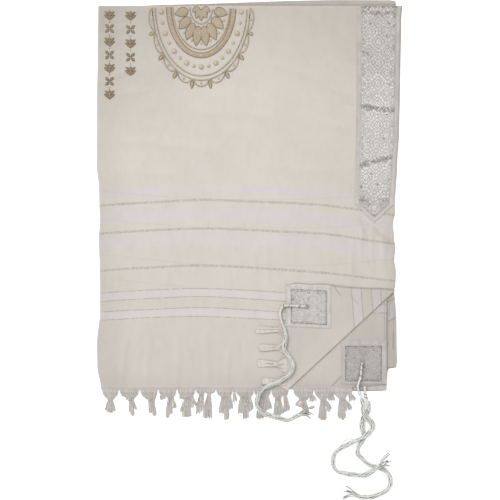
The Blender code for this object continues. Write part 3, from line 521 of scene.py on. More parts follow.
rumples = {  # seed, room for each rise across and along, turn, height
    "down": Rumple(3, 0.034, 0.120, 4, 0.0009),
    "across": Rumple(8, 0.046, 0.090, 62, 0.0010),
    "small": Rumple(5, 0.017, 0.030, 20, 0.00025),
}


def rumpleLift(x, y):
    x, y = np.asarray(x, dtype=float), np.asarray(y, dtype=float)
    upper = stepped(y, 0.12, 0.05)
    lift = rumples["down"].lift(x, y) * (1 - upper) + rumples["across"].lift(x, y) * upper
    return lift + rumples["small"].lift(x, y)


def covered(x, y, atX, atY, soft):
    # 1 to the right of one place and below another
    right = stepped(np.asarray(x, dtype=float), atX, soft)
    return right * stepped(-np.asarray(y, dtype=float), -atY, soft)


def creaseLift(x, y, creases):
    lift = 0.0
    for fromX, fromY, toX, toY, width, height in creases:
        run = np.array((toX - fromX, toY - fromY))
        length = math.hypot(*run)
        run = run / length
        u = ((x - fromX) * run[0] + (y - fromY) * run[1]) / length
        v = ((y - fromY) * run[0] - (x - fromX) * run[1]) / width
        fade = 1 / (1 + np.exp(-18 * (u - 0.05))) / (1 + np.exp(18 * (u - 0.95)))
        lift = lift + height * fade * np.exp(-(v**2))
    return lift


def frontUnder(x, y):
    return lay["frontBase"] + foldLift(x, y)


def clothTop(x, y):
    # the front panel's upper side, with its creases, turned down at the far fold
    past = (np.asarray(y, dtype=float) - (lay["farFold"] - lay["farRoll"])) / lay["farRoll"]
    past = np.clip(past, 0.0, 1.0)
    drop = lay["farRoll"] * (1 - np.sqrt(1 - past * past))
    soft = creaseLift(x, y, lay["creases"]) * 2.0 + rumpleLift(x, y)
    # pressed flatter under the turned-back corner and its fringe
    soft = soft * (1 - 0.75 * covered(x, y, 0.012, -0.080, 0.008))
    return frontUnder(x, y) + lay["wall"] + soft - drop


def pairs(a, b):
    return np.stack([a, b], -1)


def lineMaps(x, y, lines):
    # off to the side of each short line, and the share of the way along it
    maps = {}
    for k, (fromX, fromY, toX, toY) in enumerate(lines):
        length = math.hypot(toX - fromX, toY - fromY)
        runX, runY = (toX - fromX) / length, (toY - fromY) / length
        off = (y - fromY) * runX - (x - fromX) * runY
        maps["line%d" % k] = pairs(off, ((x - fromX) * runX + (y - fromY) * runY) / length)
    return maps


def straightened(x, y, places, table):
    # the y that a place had before the cloth was pulled out of line
    lines = [(row[0], flowing(x, places, row[1:])) for row in table]
    lines = [(0.75, lines[0][1] + 0.75 - lines[0][0])] + lines + [(lay["hem"], lay["hem"])]
    v = y + 0.0
    for (upperV, upperY), (lowerV, lowerY) in reversed(list(zip(lines, lines[1:]))):
        share = (y - lowerY) / (upperY - lowerY)
        v = np.where(share >= 0, lowerV + (upperV - lowerV) * share, v)
    return v


clothLook = {
    "high": (0.703, 0.652, 0.592),
    "low": (0.630, 0.589, 0.541),
    "white": (0.687, 0.646, 0.644),
    "silver": (0.345, 0.325, 0.275),
    "shade": (0.22, 0.18, 0.14),
    "bands": (
        (0.1385, 0.155), (0.0700, 0.1025), (0.0070, 0.0380), (-0.1205, -0.1005), (-0.168, -0.1495)
    ),
    "broadLines": (0.1188, 0.0488, -0.0438),
    "fineLines": (-0.1, -0.1212, -0.1487, -0.1688),
    "broadHalf": 0.0030,
    "fineHalf": 0.0011,
    "chainPitch": 0.0058,
    "hemLine": (-0.3422, -0.3378),
    "threadPitch": 0.0009,
}


def toned(colour, tone):
    return tuple(c * tone for c in colour)


def wave(signal, pitch):
    return (signal * (math.tau / pitch)).sin()


def clothFinish(name, tone, showsBelow=False, paintedShade=(), shadows=(), lines=()):
    look = clothLook
    f = Finish(name, 0.9, sheen=0.12)
    across, along = f.flow("weave")
    mottle, slub = f.cloud(7.0, 3.0), f.cloud(260.0, 2.0)
    high, low, white, silver = (toned(look[key], tone) for key in ("high", "low", "white", "silver"))
    up = along.rise(-0.36, 0.10)
    colour = f.blend((up * 0.85 + (mottle - 0.5) * 0.6 + 0.08).least(1.0).most(0.0), low, high)
    pale = sum(along.within(start, end, 0.0030) for start, end in look["bands"])
    pale = pale + along.within(*look["hemLine"], 0.0006)
    colour = f.blend(pale.least(1.0) * 0.9, colour, white)
    leaf = f.cloud(330.0, 1.0).rise(0.36, 0.62)
    dash = f.cloud(150.0, 1.0).rise(0.30, 0.55)
    chain = (across * (math.tau / look["chainPitch"]) + dash * 4.0).sin() * 0.30 + 0.62
    half = look["broadHalf"]
    broad = [(along - place).within(-half, half, half * 0.35) for place in look["broadLines"]]
    half = look["fineHalf"]
    fine = [(along - place).within(-half, half, half * 0.35) for place in look["fineLines"]]
    metal = sum(line * ((leaf * 0.65 + 0.22) * chain) for line in broad)
    metal = (metal + sum(line * (dash * 0.35 + leaf * 0.42) for line in fine)).least(1.0)
    colour = f.blend(sum(broad).least(1.0) * 0.5, colour, white)
    colour = f.blend(metal, colour, silver)
    f.feed("Metallic", metal * 0.3)
    f.feed("Roughness", 0.9 - metal * 0.4)
    if showsBelow:
        under = f.flow("below")[1]
        places = (*look["broadLines"], look["fineLines"][0])
        ghost = sum(under.within(place - 0.0009, place + 0.0009, 0.0008) for place in places)
        colour = f.blend(ghost.least(1.0) * 0.14, colour, silver)
    # greyer in random patches, with painted shade over the given stretches along the folds and the hem
    grey = f.cloud(75.0, 4.0, (1.0, 0.6, 1.0)).rise(0.40, 0.75) * 0.045
    grey = grey + f.cloud(16.0, 2.0, (1.0, 0.7, 1.0)).rise(0.35, 0.75) * 0.035
    for which, start, end, amount in paintedShade:
        grey = grey + (across, along)[which].rise(start, end) * amount
    colour = f.blend(grey, colour, look["shade"])
    # painted shadow where one layer lies on another and along rolled and turned edges
    for mapName, which, start, end, amount in shadows:
        away = f.flow(mapName)[which]
        near = away.rise(start - 0.0010, start) * (1 - away.rise(end, end + 0.0024))
        colour = f.blend(near * amount, colour, look["shade"])
    # painted shade along short crease lines, and a broad soft shade at the front's upper left
    for k, (half, soft, amount) in enumerate(lines):
        off, share = f.flow("line%d" % k)
        near = (1 - abs(off).rise(half, half + soft)) * share.within(0.0, 1.0, 0.15)
        colour = f.blend(near * amount, colour, look["shade"])
    f.feed("Base Color", f.blend(((slub - 0.5) * 0.12).most(0.0), colour, silver))
    pitch = look["threadPitch"]
    threads = wave(across, pitch) * 0.5 + wave(along, pitch) * 0.5
    twill = wave(across + along, pitch * 3) * 0.35
    pucker = f.cloud(60.0, 2.0, (1.0, 0.35, 1.0)) * 3.0 + f.cloud(24.0, 1.0) * 4.0
    f.relief(threads + twill + slub * 0.8 + pucker + metal * 1.2, 0.00016, 0.6)
    return f


def ribbonFinish(name, tone, faded=None):
    f = Finish(name, 0.5, sheen=0.1)
    along = f.flow("weave")[1]
    rib = wave(along, 0.0011)
    slub = f.cloud(300.0)
    patchy = f.cloud(70.0, 3.0, (1.0, 0.6, 1.0)).rise(0.36, 0.64)
    light, dark = toned((0.565, 0.532, 0.513), tone), toned((0.435, 0.407, 0.388), tone)
    colour = f.blend(slub * 0.3 + patchy * 0.5 + rib * 0.1, light, dark)
    if faded:
        start, end, amount = faded
        colour = f.blend(along.rise(start, end) * amount, colour, (0.65, 0.61, 0.575))
    f.feed("Base Color", colour)
    f.relief(rib * 0.5 + slub + patchy, 0.00014, 0.6)
    return f


def brocadeFinish(name, tone, rim=None, creased=False):
    # the ground that the silver threads float over
    f = Finish(name, 0.5, metallic=0.1)
    across, along = f.flow("weave")
    slub, patchy = f.cloud(480.0, 2.0), f.cloud(60.0, 3.0)
    pale, grey, black = (
        toned(c, tone) for c in ((0.62, 0.582, 0.555), (0.42, 0.392, 0.370), (0.10, 0.093, 0.087))
    )
    colour = f.blend((slub * 0.7 + patchy * 0.5 - 0.1).rise(0.2, 0.8), grey, pale)
    blotch = f.cloud(190.0, 2.0).rise(0.38, 0.62)
    if rim:
        wander = f.cloud(45.0, 2.0) * 0.012 - 0.006
        edge, other = (
            abs(flow + wander).rise(half - 0.0095, half - 0.0015)
            for flow, half in zip((across, along), rim)
        )
        colour = f.blend(edge.most(other) * (blotch * 0.45 + 0.15), colour, black)
    if creased:
        # painted shade in the folds across the band, under the far fold and along its fold line, with
        # darker marks near the point and at its tip
        first, other = f.flow("crease")
        bend = 1 - abs(first).rise(0.0024, 0.0095)
        bend = bend.most((1 - abs(other).rise(0.0014, 0.0080)) * 0.75)
        bend = bend.most(along.rise(0.6010, 0.6080)).most(along.within(0.5895, 0.5940, 0.0020) * 0.6)
        point = along.within(0.1200, 0.1290, 0.0050) * abs(across).rise(0.008, 0.026)
        bend = bend.most(point * 0.8).most(1 - along.rise(0.0850, 0.0930))
        paler = along.within(0.17, 0.40, 0.06) * 0.40 + (1 - along.rise(0.40, 0.46)) * 0.12
        colour = f.blend(paler, colour, (0.60, 0.567, 0.54))
        colour = f.blend(bend * (blotch * 0.55 + 0.12), colour, black)
    f.feed("Base Color", colour)
    f.relief(slub + patchy * 4.0, 0.0002, 0.6)
    return f


def yarnFinish(name, pale, dark, edge, sides=0.7, roughness=0.85, metallic=0.0, wearAndShade=None):
    f = Finish(name, roughness, metallic, sheen=0.15 if metallic == 0 else 0.0)
    slub = f.cloud(500.0, 3.0)
    colour = f.blend((slub * 0.7 + f.cloud(30.0) * 0.5 - 0.1).rise(0.15, 0.85), pale, dark)
    # a low tone leads to this colour: worn grey tips and dull threads, and painted shade on silver
    # threads in creases and on the fringe locks' outer yarns
    if wearAndShade:
        colour = f.blend(f.own("tone"), wearAndShade, colour)
    # painted shade: the sides that turn away from straight up take the edge colour
    turned = f.own("side").rise(0.30, 0.95) * sides
    f.feed("Base Color", f.blend(turned, colour, edge))
    f.relief(slub, 0.0002, 0.4)
    return f


def goldFinish(name, pale, dark):
    f = Finish(name, 0.5, metallic=0.2)
    thread = wave(f.flow("weave")[1], 0.0011)
    slub = f.cloud(420.0, 2.0)
    seed = f.cloud(260.0, 1.0).rise(0.52, 0.66)
    f.feed("Base Color", f.blend(slub * 0.4 + thread * 0.12 + seed * 0.45, pale, dark))
    f.relief(thread * 0.8 + slub - seed, 0.00025, 0.8)
    return f


# paintedShade: painted shade, across or along, from, to, how much; shadows: painted shadow, which map,
# across or along, from, to, how much; lines: painted shade along creases, half width, softness, how much
frontLook = clothFinish(
    "cream cloth",
    1.0,
    True,
    paintedShade=(
        (1, 0.36, 0.68, 0.22), (1, -0.29, -0.365, 0.14), (0, -0.28, -0.385, 0.14),
        (0, 0.0, 0.30, 0.09), (0, 0.325, 0.365, 0.16),
    ),
    shadows=(("edge", 0, -0.0200, 0.0, 0.22),),
    lines=(
        (0.0010, 0.0080, 0.10), (0.0010, 0.0090, 0.13), (0.0004, 0.0050, 0.08),
        (0.0008, 0.0045, 0.22), (0.0600, 0.1000, 0.11),
    ),
)
flapLook = clothFinish(
    "cream cloth turned back",
    0.965,
    paintedShade=((0, -0.30, -0.10, 0.07), (1, -0.225, -0.08, 0.14)),
    shadows=(("edge", 0, -0.0010, 0.0014, 0.42),),
    lines=((0.0004, 0.0030, 0.30), (0.0004, 0.0030, 0.18)),
)
# the second layer's cloth is toned darker: painted shade under the turned-back corner
secondLook = clothFinish(
    "cream cloth second layer",
    0.945,
    paintedShade=((0, 0.20, 0.27, 0.19), (1, -0.30, -0.35, 0.15)),
    shadows=(
        ("fold", 0, -0.004, 0.0014, 0.06), ("fold", 1, -0.0068, -0.0060, 0.30),
        ("fold", 1, -0.0012, 0.0010, 0.25),
    ),
    lines=((0.0004, 0.0028, 0.40),),
)
# toned darker still: painted shade on the folded layers beneath
lowerLook = clothFinish(
    "cream cloth lower layers",
    0.77,
    paintedShade=((1, 0.36, 0.68, 0.10), (1, 0.6290, 0.6225, 0.30)),
)
# toned darker: painted shade on the lowest layer's edge, which lies under the others
edgingLook = clothFinish(
    "cream cloth lowest edge",
    0.765,
    shadows=(("fold", 0, -0.0075, -0.0070, 0.25),),
    lines=((0.0004, 0.0026, 0.45), (0.0004, 0.0040, 0.25), (0.0004, 0.0026, 0.30)),
)
ribbonLook = ribbonFinish("satin ribbon", 1.0, (0.40, 0.07, 0.40))
ribbonPatchLook = ribbonFinish("satin ribbon on the corner", 1.17)
ribbonShadeLook = ribbonFinish("satin ribbon on the second layer", 0.98)
collarLook = brocadeFinish("silver brocade", 0.90, creased=True)
patchLook = brocadeFinish("silver brocade patch", 0.91, (0.0457, 0.0437))
patchShadeLook = brocadeFinish("silver brocade patch below", 0.745, (0.0457, 0.0437))
threadLook = {
    row[0]: yarnFinish(*row)
    # edge is the colour of painted shade on the sides, and the number after it how dark they are painted
    for row in (  # name, pale, dark, edge, how dark the sides are, roughness, metallic, worn
        ("silver thread", (0.97, 0.945, 0.925), (0.90, 0.872, 0.848), (0.42, 0.395, 0.375),
         0.25, 0.4, 0.1, (0.22, 0.205, 0.19)),
        # a darker copy for the patch on the second layer: painted shade
        ("silver thread below", (0.80, 0.77, 0.75), (0.70, 0.67, 0.65), (0.29, 0.27, 0.26),
         0.4, 0.4, 0.1, (0.16, 0.15, 0.14)),
        ("sewing thread", (0.56, 0.53, 0.50), (0.46, 0.43, 0.40), (0.30, 0.28, 0.26)),
        ("fringe yarn", (0.685, 0.652, 0.618), (0.575, 0.543, 0.510), (0.43, 0.39, 0.345),
         0.45, 0.85, 0.0, (0.40, 0.36, 0.31)),
        ("fringe yarn below", (0.680, 0.648, 0.618), (0.570, 0.540, 0.510), (0.42, 0.38, 0.34),
         0.45, 0.85, 0.0, (0.38, 0.34, 0.295)),
        ("fringe yarn on the cloth", (0.82, 0.77, 0.715), (0.74, 0.69, 0.635), (0.62, 0.565, 0.50),
         0.30, 0.85, 0.0, (0.55, 0.49, 0.41)),
        ("tassel cord", (0.93, 0.945, 0.905), (0.76, 0.78, 0.73), (0.08, 0.09, 0.08),
         1.0, 0.7, 0.0, (0.36, 0.36, 0.385)),
        ("tassel cord on the cloth", (0.80, 0.815, 0.765), (0.70, 0.715, 0.665), (0.44, 0.425, 0.37),
         0.75, 0.7, 0.0, (0.40, 0.40, 0.42)),
        ("gilt thread", (0.40, 0.30, 0.11), (0.25, 0.18, 0.06), (0.12, 0.08, 0.03), 0.7, 0.45),
        ("gold cord", (0.66, 0.555, 0.40), (0.43, 0.34, 0.22), (0.17, 0.125, 0.07), 0.95, 0.5, 0.1),
        # the edging yarns' colours are painted shadow round the satin shapes; the sprigs' beads also
        # take gold edging
        ("gold edging", (0.36, 0.285, 0.18), (0.25, 0.19, 0.11), (0.11, 0.08, 0.045), 0.9, 0.6, 0.1),
        ("dark gold edging", (0.20, 0.155, 0.095), (0.12, 0.09, 0.05), (0.06, 0.045, 0.025), 0.8, 0.6),
    )
}
goldLook = goldFinish("gold satin stitch", (0.55, 0.46, 0.345), (0.385, 0.305, 0.205))
goldDeepLook = goldFinish("deep gold satin stitch", (0.40, 0.32, 0.21), (0.21, 0.155, 0.09))
print("finishes mixed")


# the lower layers, one folded stack
stack = {
    "outline": tenths(  # x and y of the lowest layer's edge, then of the edge on it
        (-3680, 6030, -3680, 6030), (-2430, 6130, -2430, 6130), (-1230, 6158, -1230, 6158),
        (40, 6206, 40, 6206), (1260, 6244, 1260, 6244), (2260, 6260, 2260, 6260),
        (3640, 6252, 3630, 6252), (3655, 6000, 3620, 6000), (3640, 1550, 3600, 1550),
        (3610, 1100, 3580, 1100), (3565, 650, 3530, 650), (3612, 50, 3520, 50),
        (3598, -250, 3510, -250), (3640, -600, 3500, -600), (3605, -1030, 3460, -1030),
        (3640, -1400, 3450, -1400), (3670, -2500, 3420, -2500), (3675, -2830, 3420, -2830),
        (3650, -2945, 3420, -2900), (3465, -2970, 3420, -2970), (3440, -3050, 3420, -3050),
        (3425, -3300, 3418, -3300), (3413, -3515, 3408, -3511), (3260, -3530, 3260, -3526),
        (2580, -3532, 2585, -3526), (2540, -3490, 2545, -3480), (-3650, -3480, -3650, -3470),
    ),
    "farRows": 7,  # how many of these lie along the far fold
    "levels": (  # height, and how far each of the two layers is drawn in there
        tenths((0, 7), (3, 2), (8, 0), (13, 2), (16, 7), (16.5, 30)),
        tenths((17.5, 36), (19, 8), (22, 2), (27, 0), (32, 2), (35, 7)),
    ),
    "between": 5,
    "lobe": 0.00175,
    "setBack": 0.0050,  # the upper lobe at the far fold
    "weaveShift": 0.011,
}


def makeStack():
    rows, between = stack["outline"], stack["between"]
    half = stack["lobe"] / 2
    points = []
    for which, levels in enumerate(stack["levels"]):
        ends = [Vector(row[2 * which : 2 * which + 2]) for row in rows]
        for z, drawn in levels:
            rise = z - half - which * stack["lobe"]
            lobe = half - math.sqrt(max(0.0, half * half - rise * rise))
            for i, (here, there) in enumerate(zip(ends, ends[1:] + ends[:1])):
                run = (there - here).normalized()
                far = i + 1 < stack["farRows"]
                back = lobe + which * stack["setBack"] if far else drawn
                for k in range(between):
                    spot = here.lerp(there, (k + 0.5) / between) + Vector((run.y, -run.x)) * back
                    points.append((spot.x, spot.y, z))
    ring = len(rows) * between
    top = len(points) - ring
    faces = [tuple(range(ring))]
    for low in range(0, top, ring):
        for i in range(ring):
            j = (i + 1) % ring
            faces.append((low + i, low + ring + i, low + ring + j, low + j))
    faces.append(tuple(top + i for i in reversed(range(ring))))
    maps = {"weave": np.array([(x, y + stack["weaveShift"]) for x, y, z in points])}
    piece = shell("lowerCloth", points, faces, maps, lowerLook)
    for flat in (0, len(faces) - 1):
        piece.data.polygons[flat].use_smooth = False
    return piece


edging = {
    "from": 0.3360,
    "top": 0.590,
    "bottom": -0.2940,
    "fold": 0.3605,
    "spacing": 0.004,
    "columns": 16,
    "base": 0.0019,
    "wall": 0.0015,
    "right": tenths(  # y, x
        (-2945, 3650), (-2830, 3672), (-2500, 3668), (-1400, 3637), (-1030, 3602), (-600, 3637),
        (-250, 3596), (50, 3610), (650, 3563), (1100, 3608), (1550, 3638), (2000, 3660), (6000, 3653),
    ),
    "line": (-0.1688, -0.175, 0.355),  # the last silver line, and where it lies
}


def makeEdging():
    # the lowest layer's hemmed edge, which shows at the right
    ys = np.append(np.arange(edging["top"], edging["bottom"], -edging["spacing"]), edging["bottom"])
    right = flowing(ys, *zip(*edging["right"]))[:, None]
    x = edging["from"] + (right - edging["from"]) * np.linspace(0, 1, edging["columns"])[None, :]
    y = np.repeat(ys[:, None], edging["columns"], 1)
    hemmed = 0.0007 / (1 + np.exp(-(x - edging["fold"]) / 0.0004))
    ripple = 0.0004 * np.sin(y * 41 + 1.0) + 0.0003 * np.sin(y * 97 + x * 60)
    z = edging["base"] + hemmed + np.where(y < -0.11, ripple + 0.0009, 0.0)
    for fromX, fromY, toX, toY in lay["edgingLines"]:
        z = z + creaseLift(x, y, ((fromX + 0.003, fromY, toX + 0.003, toY, 0.0018, 0.0005),))
    lineV, lineY, lineX = edging["line"]
    above = y - lineY - 0.5 * (x - lineX)
    maps = {
        "weave": pairs(x, lineV + np.where(above > 0, above * 0.4, above)),
        "fold": pairs(x - right, y),
        **lineMaps(x, y, lay["edgingLines"]),
    }
    grid = np.stack([x, y, z], -1)
    return gridSheet("lowestEdge", grid, maps, edgingLook, ("right", "bottom"), edging["wall"])


lowerCloth = dressed(makeStack(), "cloth", "lower_layers")
lowestEdge = dressed(makeEdging(), "cloth")
print("lower layers laid")


# the turned-back corner's lines
corner = {
    "foldA": Vector((0.3625, -0.1013)),
    "foldB": Vector((0.0900, -0.3540)),
    "tip": Vector((0.0895, -0.0865)),
    "lift": 0.0020,
    "leg": 0.003,
    "steps": 66,
    "rollDegrees": range(180, -1, -18),
    "bowReach": 0.0095,
    "bow": tenths(  # x, how far the upper edge is pushed up
        (895, 0), (990, 5), (1080, 40), (1470, 46), (1955, 66), (2200, 42), (2560, 22), (2925, 22),
        (3290, 34), (3480, 26), (3625, 0),
    ),
}
corner["run"] = (corner["foldB"] - corner["foldA"]).normalized()
corner["outward"] = Vector((-corner["run"].y, corner["run"].x))
corner["outer"] = (corner["lift"] + lay["wall"]) / 2
corner["inner"] = corner["outer"] - lay["wall"]


def foldDistance(x, y):
    # out from the diagonal fold
    start, outward = corner["foldA"], corner["outward"]
    return (x - start.x) * outward.x + (y - start.y) * outward.y


def frontRight(y):
    start, run = corner["foldA"], corner["run"]
    back = corner["outer"] + corner["leg"] + lay["gap"]
    clear = start.x + run.x * (y - start.y) / run.y - back / corner["outward"].x
    return np.minimum(clear, eased(lay["rightEdge"], y))


second = {
    "left": -0.3655,
    "top": 0.6048,
    "right": tenths((6060, 3560), (0, 3510), (-1300, 3425), (-3360, 3415)),  # y, x
    "hem": tenths((-3655, -3475), (2480, -3475), (2600, -3430), (3415, -3365)),
    "columns": 150,
    "rows": 200,
}


def secondHem(x):
    return np.interp(x, *zip(*second["hem"]))


def secondTop(x, y):
    soft = rumples["down"].lift(x + 0.3, y) * 0.5 * covered(x, y, 0.10, -0.10, 0.01)
    return lay["secondBase"] + lay["wall"] + creaseLift(x, y, lay["secondCreases"]) + soft


def makeSecond():
    across = np.linspace(0, 1, second["columns"]) ** 0.75
    down = np.linspace(0, 1, second["rows"]) ** 0.75
    hemEnd = second["hem"][-1][0]
    hemY = secondHem(second["left"] + (hemEnd - second["left"]) * across)
    y = second["top"] + (hemY[None, :] - second["top"]) * down[:, None]
    right = np.interp(y, *zip(*sorted(second["right"])))
    x = second["left"] + (right - second["left"]) * across[None, :]
    sag = 0.0113 + 0.03 * np.maximum(0, 0.31 - x)
    upper = np.interp(y, (-0.31, -0.22), (0, 1))
    maps = {
        "weave": pairs(x, y + 0.0037 * (1 - upper) - sag * upper),
        "fold": pairs(foldDistance(x, y), x - right),
        **lineMaps(x, y, lay["secondLines"]),
    }
    grid = np.stack([x, y, secondTop(x, y)], -1)
    return gridSheet("secondCloth", grid, maps, secondLook, ("right", "bottom"), lay["wall"])


secondCloth = dressed(makeSecond(), "cloth", "second_layer")
print("second layer laid")


panel = {
    "spacing": 0.0042,
    "columns": 184,
    "leftDegrees": (176, *range(165, 0, -15)),
    "farDegrees": (125, *range(108, -1, -18)),
    "settled": 12,  # the columns over which the panel's own creases come in beside the roll
}


def makeFront():
    farRoll = lay["farRoll"]
    startY = lay["farFold"] - farRoll
    count = round((startY - lay["hem"]) / panel["spacing"])
    stations = [(startY, math.radians(d)) for d in panel["farDegrees"]]
    stations += [(startY + (lay["hem"] - startY) * i / count, 0.0) for i in range(1, count + 1)]
    turns = np.radians(panel["leftDegrees"])
    cosine = np.cos(turns)
    shares = np.linspace(0, 1, panel["columns"])
    settled = panel["settled"]
    rows, weave = [], []
    for y, turn in stations:
        foldX = float(eased(lay["leftFold"], y))
        top = float(clothTop(foldX, y))
        roll = (top - lay["rollFloor"]) / 2
        drop = farRoll * (1 - math.cos(turn))
        start = foldX + roll
        x = start + (float(frontRight(y)) - start) * shares
        z = clothTop(x, y) - drop
        z[:settled] += (top - drop - z[0]) * np.linspace(1, 0, settled)
        xs = np.concatenate([start - roll * np.sin(turns), x])
        zs = np.concatenate([top - roll + roll * cosine - drop * np.maximum(0, cosine), z])
        us = np.concatenate([start - roll * turns, x])
        rows.append(np.stack([xs, np.full_like(xs, y + farRoll * math.sin(turn)), zs], -1))
        weave.append(pairs(us, np.full_like(us, y + farRoll * turn)))
    grid = np.array(rows)
    u, y = np.moveaxis(np.array(weave), -1, 0)
    maps = {
        "weave": pairs(u, straightened(u, y, lay["stripePlaces"], lay["stripes"])),
        "below": pairs(u, straightened(u, y, lay["belowPlaces"], lay["below"])),
        "edge": pairs(u - eased(lay["leftFold"], y), y),
        **lineMaps(u, y, lay["frontLines"]),
    }
    grid, maps = turnedUnder(grid, maps, ("right", "bottom"), lay["wall"])
    grid[..., 2] = np.maximum(grid[..., 2], lay["rollFloor"])
    return gridSheet("frontCloth", grid, maps, frontLook)


frontCloth = dressed(makeFront(), "cloth", "front_panel")
print("front panel laid")


def flapTop(x, y):
    base = frontUnder(x, y) + corner["lift"] + lay["wall"]
    return base + creaseLift(x, y, lay["flapCreases"]) + rumpleLift(x, y) * 0.6


def flapBow(x, fromTop):
    return flowing(x, *zip(*corner["bow"])) * np.clip(1 - fromTop / corner["bowReach"], 0, 1)


def flapWeave(x, y):
    # the stripes run down the turned-back cloth, from its hem at the left
    out = x - corner["tip"].x
    out = out - (corner["tip"].y - y) * 0.075 * np.clip(out / 0.16, 0, 1)
    places = (0.0, 0.163, 0.1875, 0.2125, 0.2355, 0.32)
    return pairs(y, np.interp(out, places, (lay["hem"], -0.1688, -0.1487, -0.1212, -0.1, -0.02)))


def makeFlap():
    run, outward, steps, tip = (corner[key] for key in ("run", "outward", "steps", "tip"))
    length = (corner["foldB"] - corner["foldA"]).length
    outer, inner, rows = [], [], []

    def rollRow(acrosses, ups):
        rows.append(range(len(outer), len(outer) + steps + 1))
        for i in range(steps + 1):
            base = corner["foldA"] + run * (length * i / steps) - outward * corner["outer"]
            centre = float(frontUnder(base.x, base.y)) + corner["outer"]
            for side, across, up in zip((outer, inner), acrosses, ups):
                side.append((*(base + outward * across), centre + up))

    both = (corner["outer"], corner["inner"])
    rollRow((-corner["leg"], -corner["leg"]), [-radius for radius in both])
    for angle in map(math.radians, corner["rollDegrees"]):
        rollRow(*([radius * turn(angle) for radius in both] for turn in (math.sin, math.cos)))
    start, end = (corner[key] - outward * corner["outer"] for key in ("foldA", "foldB"))
    for k in range(1, steps + 1):
        left, right = start.lerp(tip, k / steps), end.lerp(tip, k / steps)
        rows.append(range(len(outer), len(outer) + steps - k + 1))
        for i in range(steps - k + 1):
            here = left.lerp(right, i / max(1, steps - k))
            top = float(flapTop(here.x, here.y))
            outer.append((here.x, here.y, top))
            inner.append((here.x, here.y, top - lay["wall"]))
    faces = []
    for before, after in zip(rows, rows[1:]):
        for i in range(len(before) - 1):
            if len(after) == len(before):
                faces.append((before[i], after[i], after[i + 1], before[i + 1]))
            else:
                faces.append((before[i], after[i], before[i + 1]))
                if i < len(after) - 1:
                    faces.append((before[i + 1], after[i], after[i + 1]))
    used = {(a, b) for face in faces for a, b in zip(face, face[1:] + face[:1])}
    count = len(outer)
    solid = faces + [tuple(count + i for i in reversed(face)) for face in faces]
    solid += [(b, a, count + a, count + b) for a, b in sorted(used) if (b, a) not in used]
    points = np.array(outer + inner)
    x, y = points[:, 0], points[:, 1]
    along = (corner["foldA"] - tip).normalized()
    fromTop = (x - tip.x) * along.y - (y - tip.y) * along.x
    maps = {
        "weave": flapWeave(x, y),
        "edge": pairs(fromTop, x - tip.x),
        **lineMaps(x, y, lay["flapLines"]),
    }
    points[:, 1] += flapBow(x, fromTop)
    return shell("flapCloth", points, solid, maps, flapLook)


flapCloth = dressed(makeFlap(), "cloth", "corner_flap")
print("corner turned back")


collar = {
    "seam": ((0.611, 0.268), (0.35, 0.2665), (0.112, 0.262)),  # y, x
    "inset": 0.0025,
    "start": 0.6099,
    "shoulder": 0.1145,
    "tip": 0.068,
    "endHalf": 0.056,
    "ribbon": 0.0105,
    "ribbonWall": 0.0011,
    "brocadeWall": 0.0013,
    "brocadeRim": 0.0008,
    "spacing": 0.003,
    "columns": 40,
    "creases": ((0.3535, -0.12), (0.2220, 0.25)),  # y at the middle, slope
    "fold": 0.5918,
    "lattice": (0.047, 0.052),
    "rings": ((0.91, False), (0.56, False), (0.24, False)),  # share of the lozenge, in rungs or not
    "dash": 0.0078,
    "threads": {"sides": (0.0118, 0.0028, 0.0009), "unevenness": 0.04},
    "threadMargin": (0.0085, 0.0030),  # along the band, and at its point
    "beadPitch": 0.0080,
    "beadInset": 0.0048,
    "smallInset": 0.0012,
    "creaseReach": 0.0070,
    "stitchPitch": 0.0033,
    "stitchRows": ((0.0016, 0.0022), (0.0094, 0.0130)),  # in from the edge, up from the tip
}


def collarSides(y):
    at = np.maximum(y, collar["shoulder"])
    return eased(collar["seam"], at), eased(lay["rightEdge"], at) - collar["inset"]


def collarMiddle(y):
    return sum(collarSides(y)) / 2


def collarGround(x, y):
    return clothTop(x, y) + creaseLift(x, y, lay["collarCreases"]) + lay["gap"]


def creaseGaps(across, y):
    return [y - level - slope * across for level, slope in collar["creases"]]


def collarGrid(tip, drawnIn, raised):
    straightRows = np.arange(collar["start"], collar["shoulder"], -collar["spacing"])
    ys = np.concatenate([straightRows, np.linspace(collar["shoulder"], tip, 18)])
    inner, outer = collarSides(ys)
    middle = (inner + outer) / 2
    point = np.clip((ys - tip) / (collar["shoulder"] - tip), 0.004, 1.0)
    half = ((outer - inner) / 2 - drawnIn) * point
    x = middle[:, None] + half[:, None] * np.linspace(-1, 1, collar["columns"])[None, :]
    y = np.repeat(ys[:, None], collar["columns"], 1)
    across = x - middle[:, None]
    maps = {"weave": pairs(across, y), "crease": pairs(*creaseGaps(across, y))}
    return np.stack([x, y, collarGround(x, y) + raised], -1), maps


def makeCollar():
    tip, wall = collar["tip"], collar["ribbonWall"]
    sides = ("left", "right", "top")
    ribbon = gridSheet("collarRibbon", *collarGrid(tip, 0.0, wall), ribbonLook, sides, wall)
    tip += collar["ribbon"] * math.hypot(1, (collar["shoulder"] - tip) / collar["endHalf"])
    grid, maps = collarGrid(tip, collar["ribbon"], collar["brocadeWall"])
    brocade = gridSheet("collarBrocade", grid, maps, collarLook, sides[:2], collar["brocadeRim"])
    return dressed(ribbon, "ribbon", "collar_ribbon"), dressed(brocade, "brocade", "collar_brocade"), tip


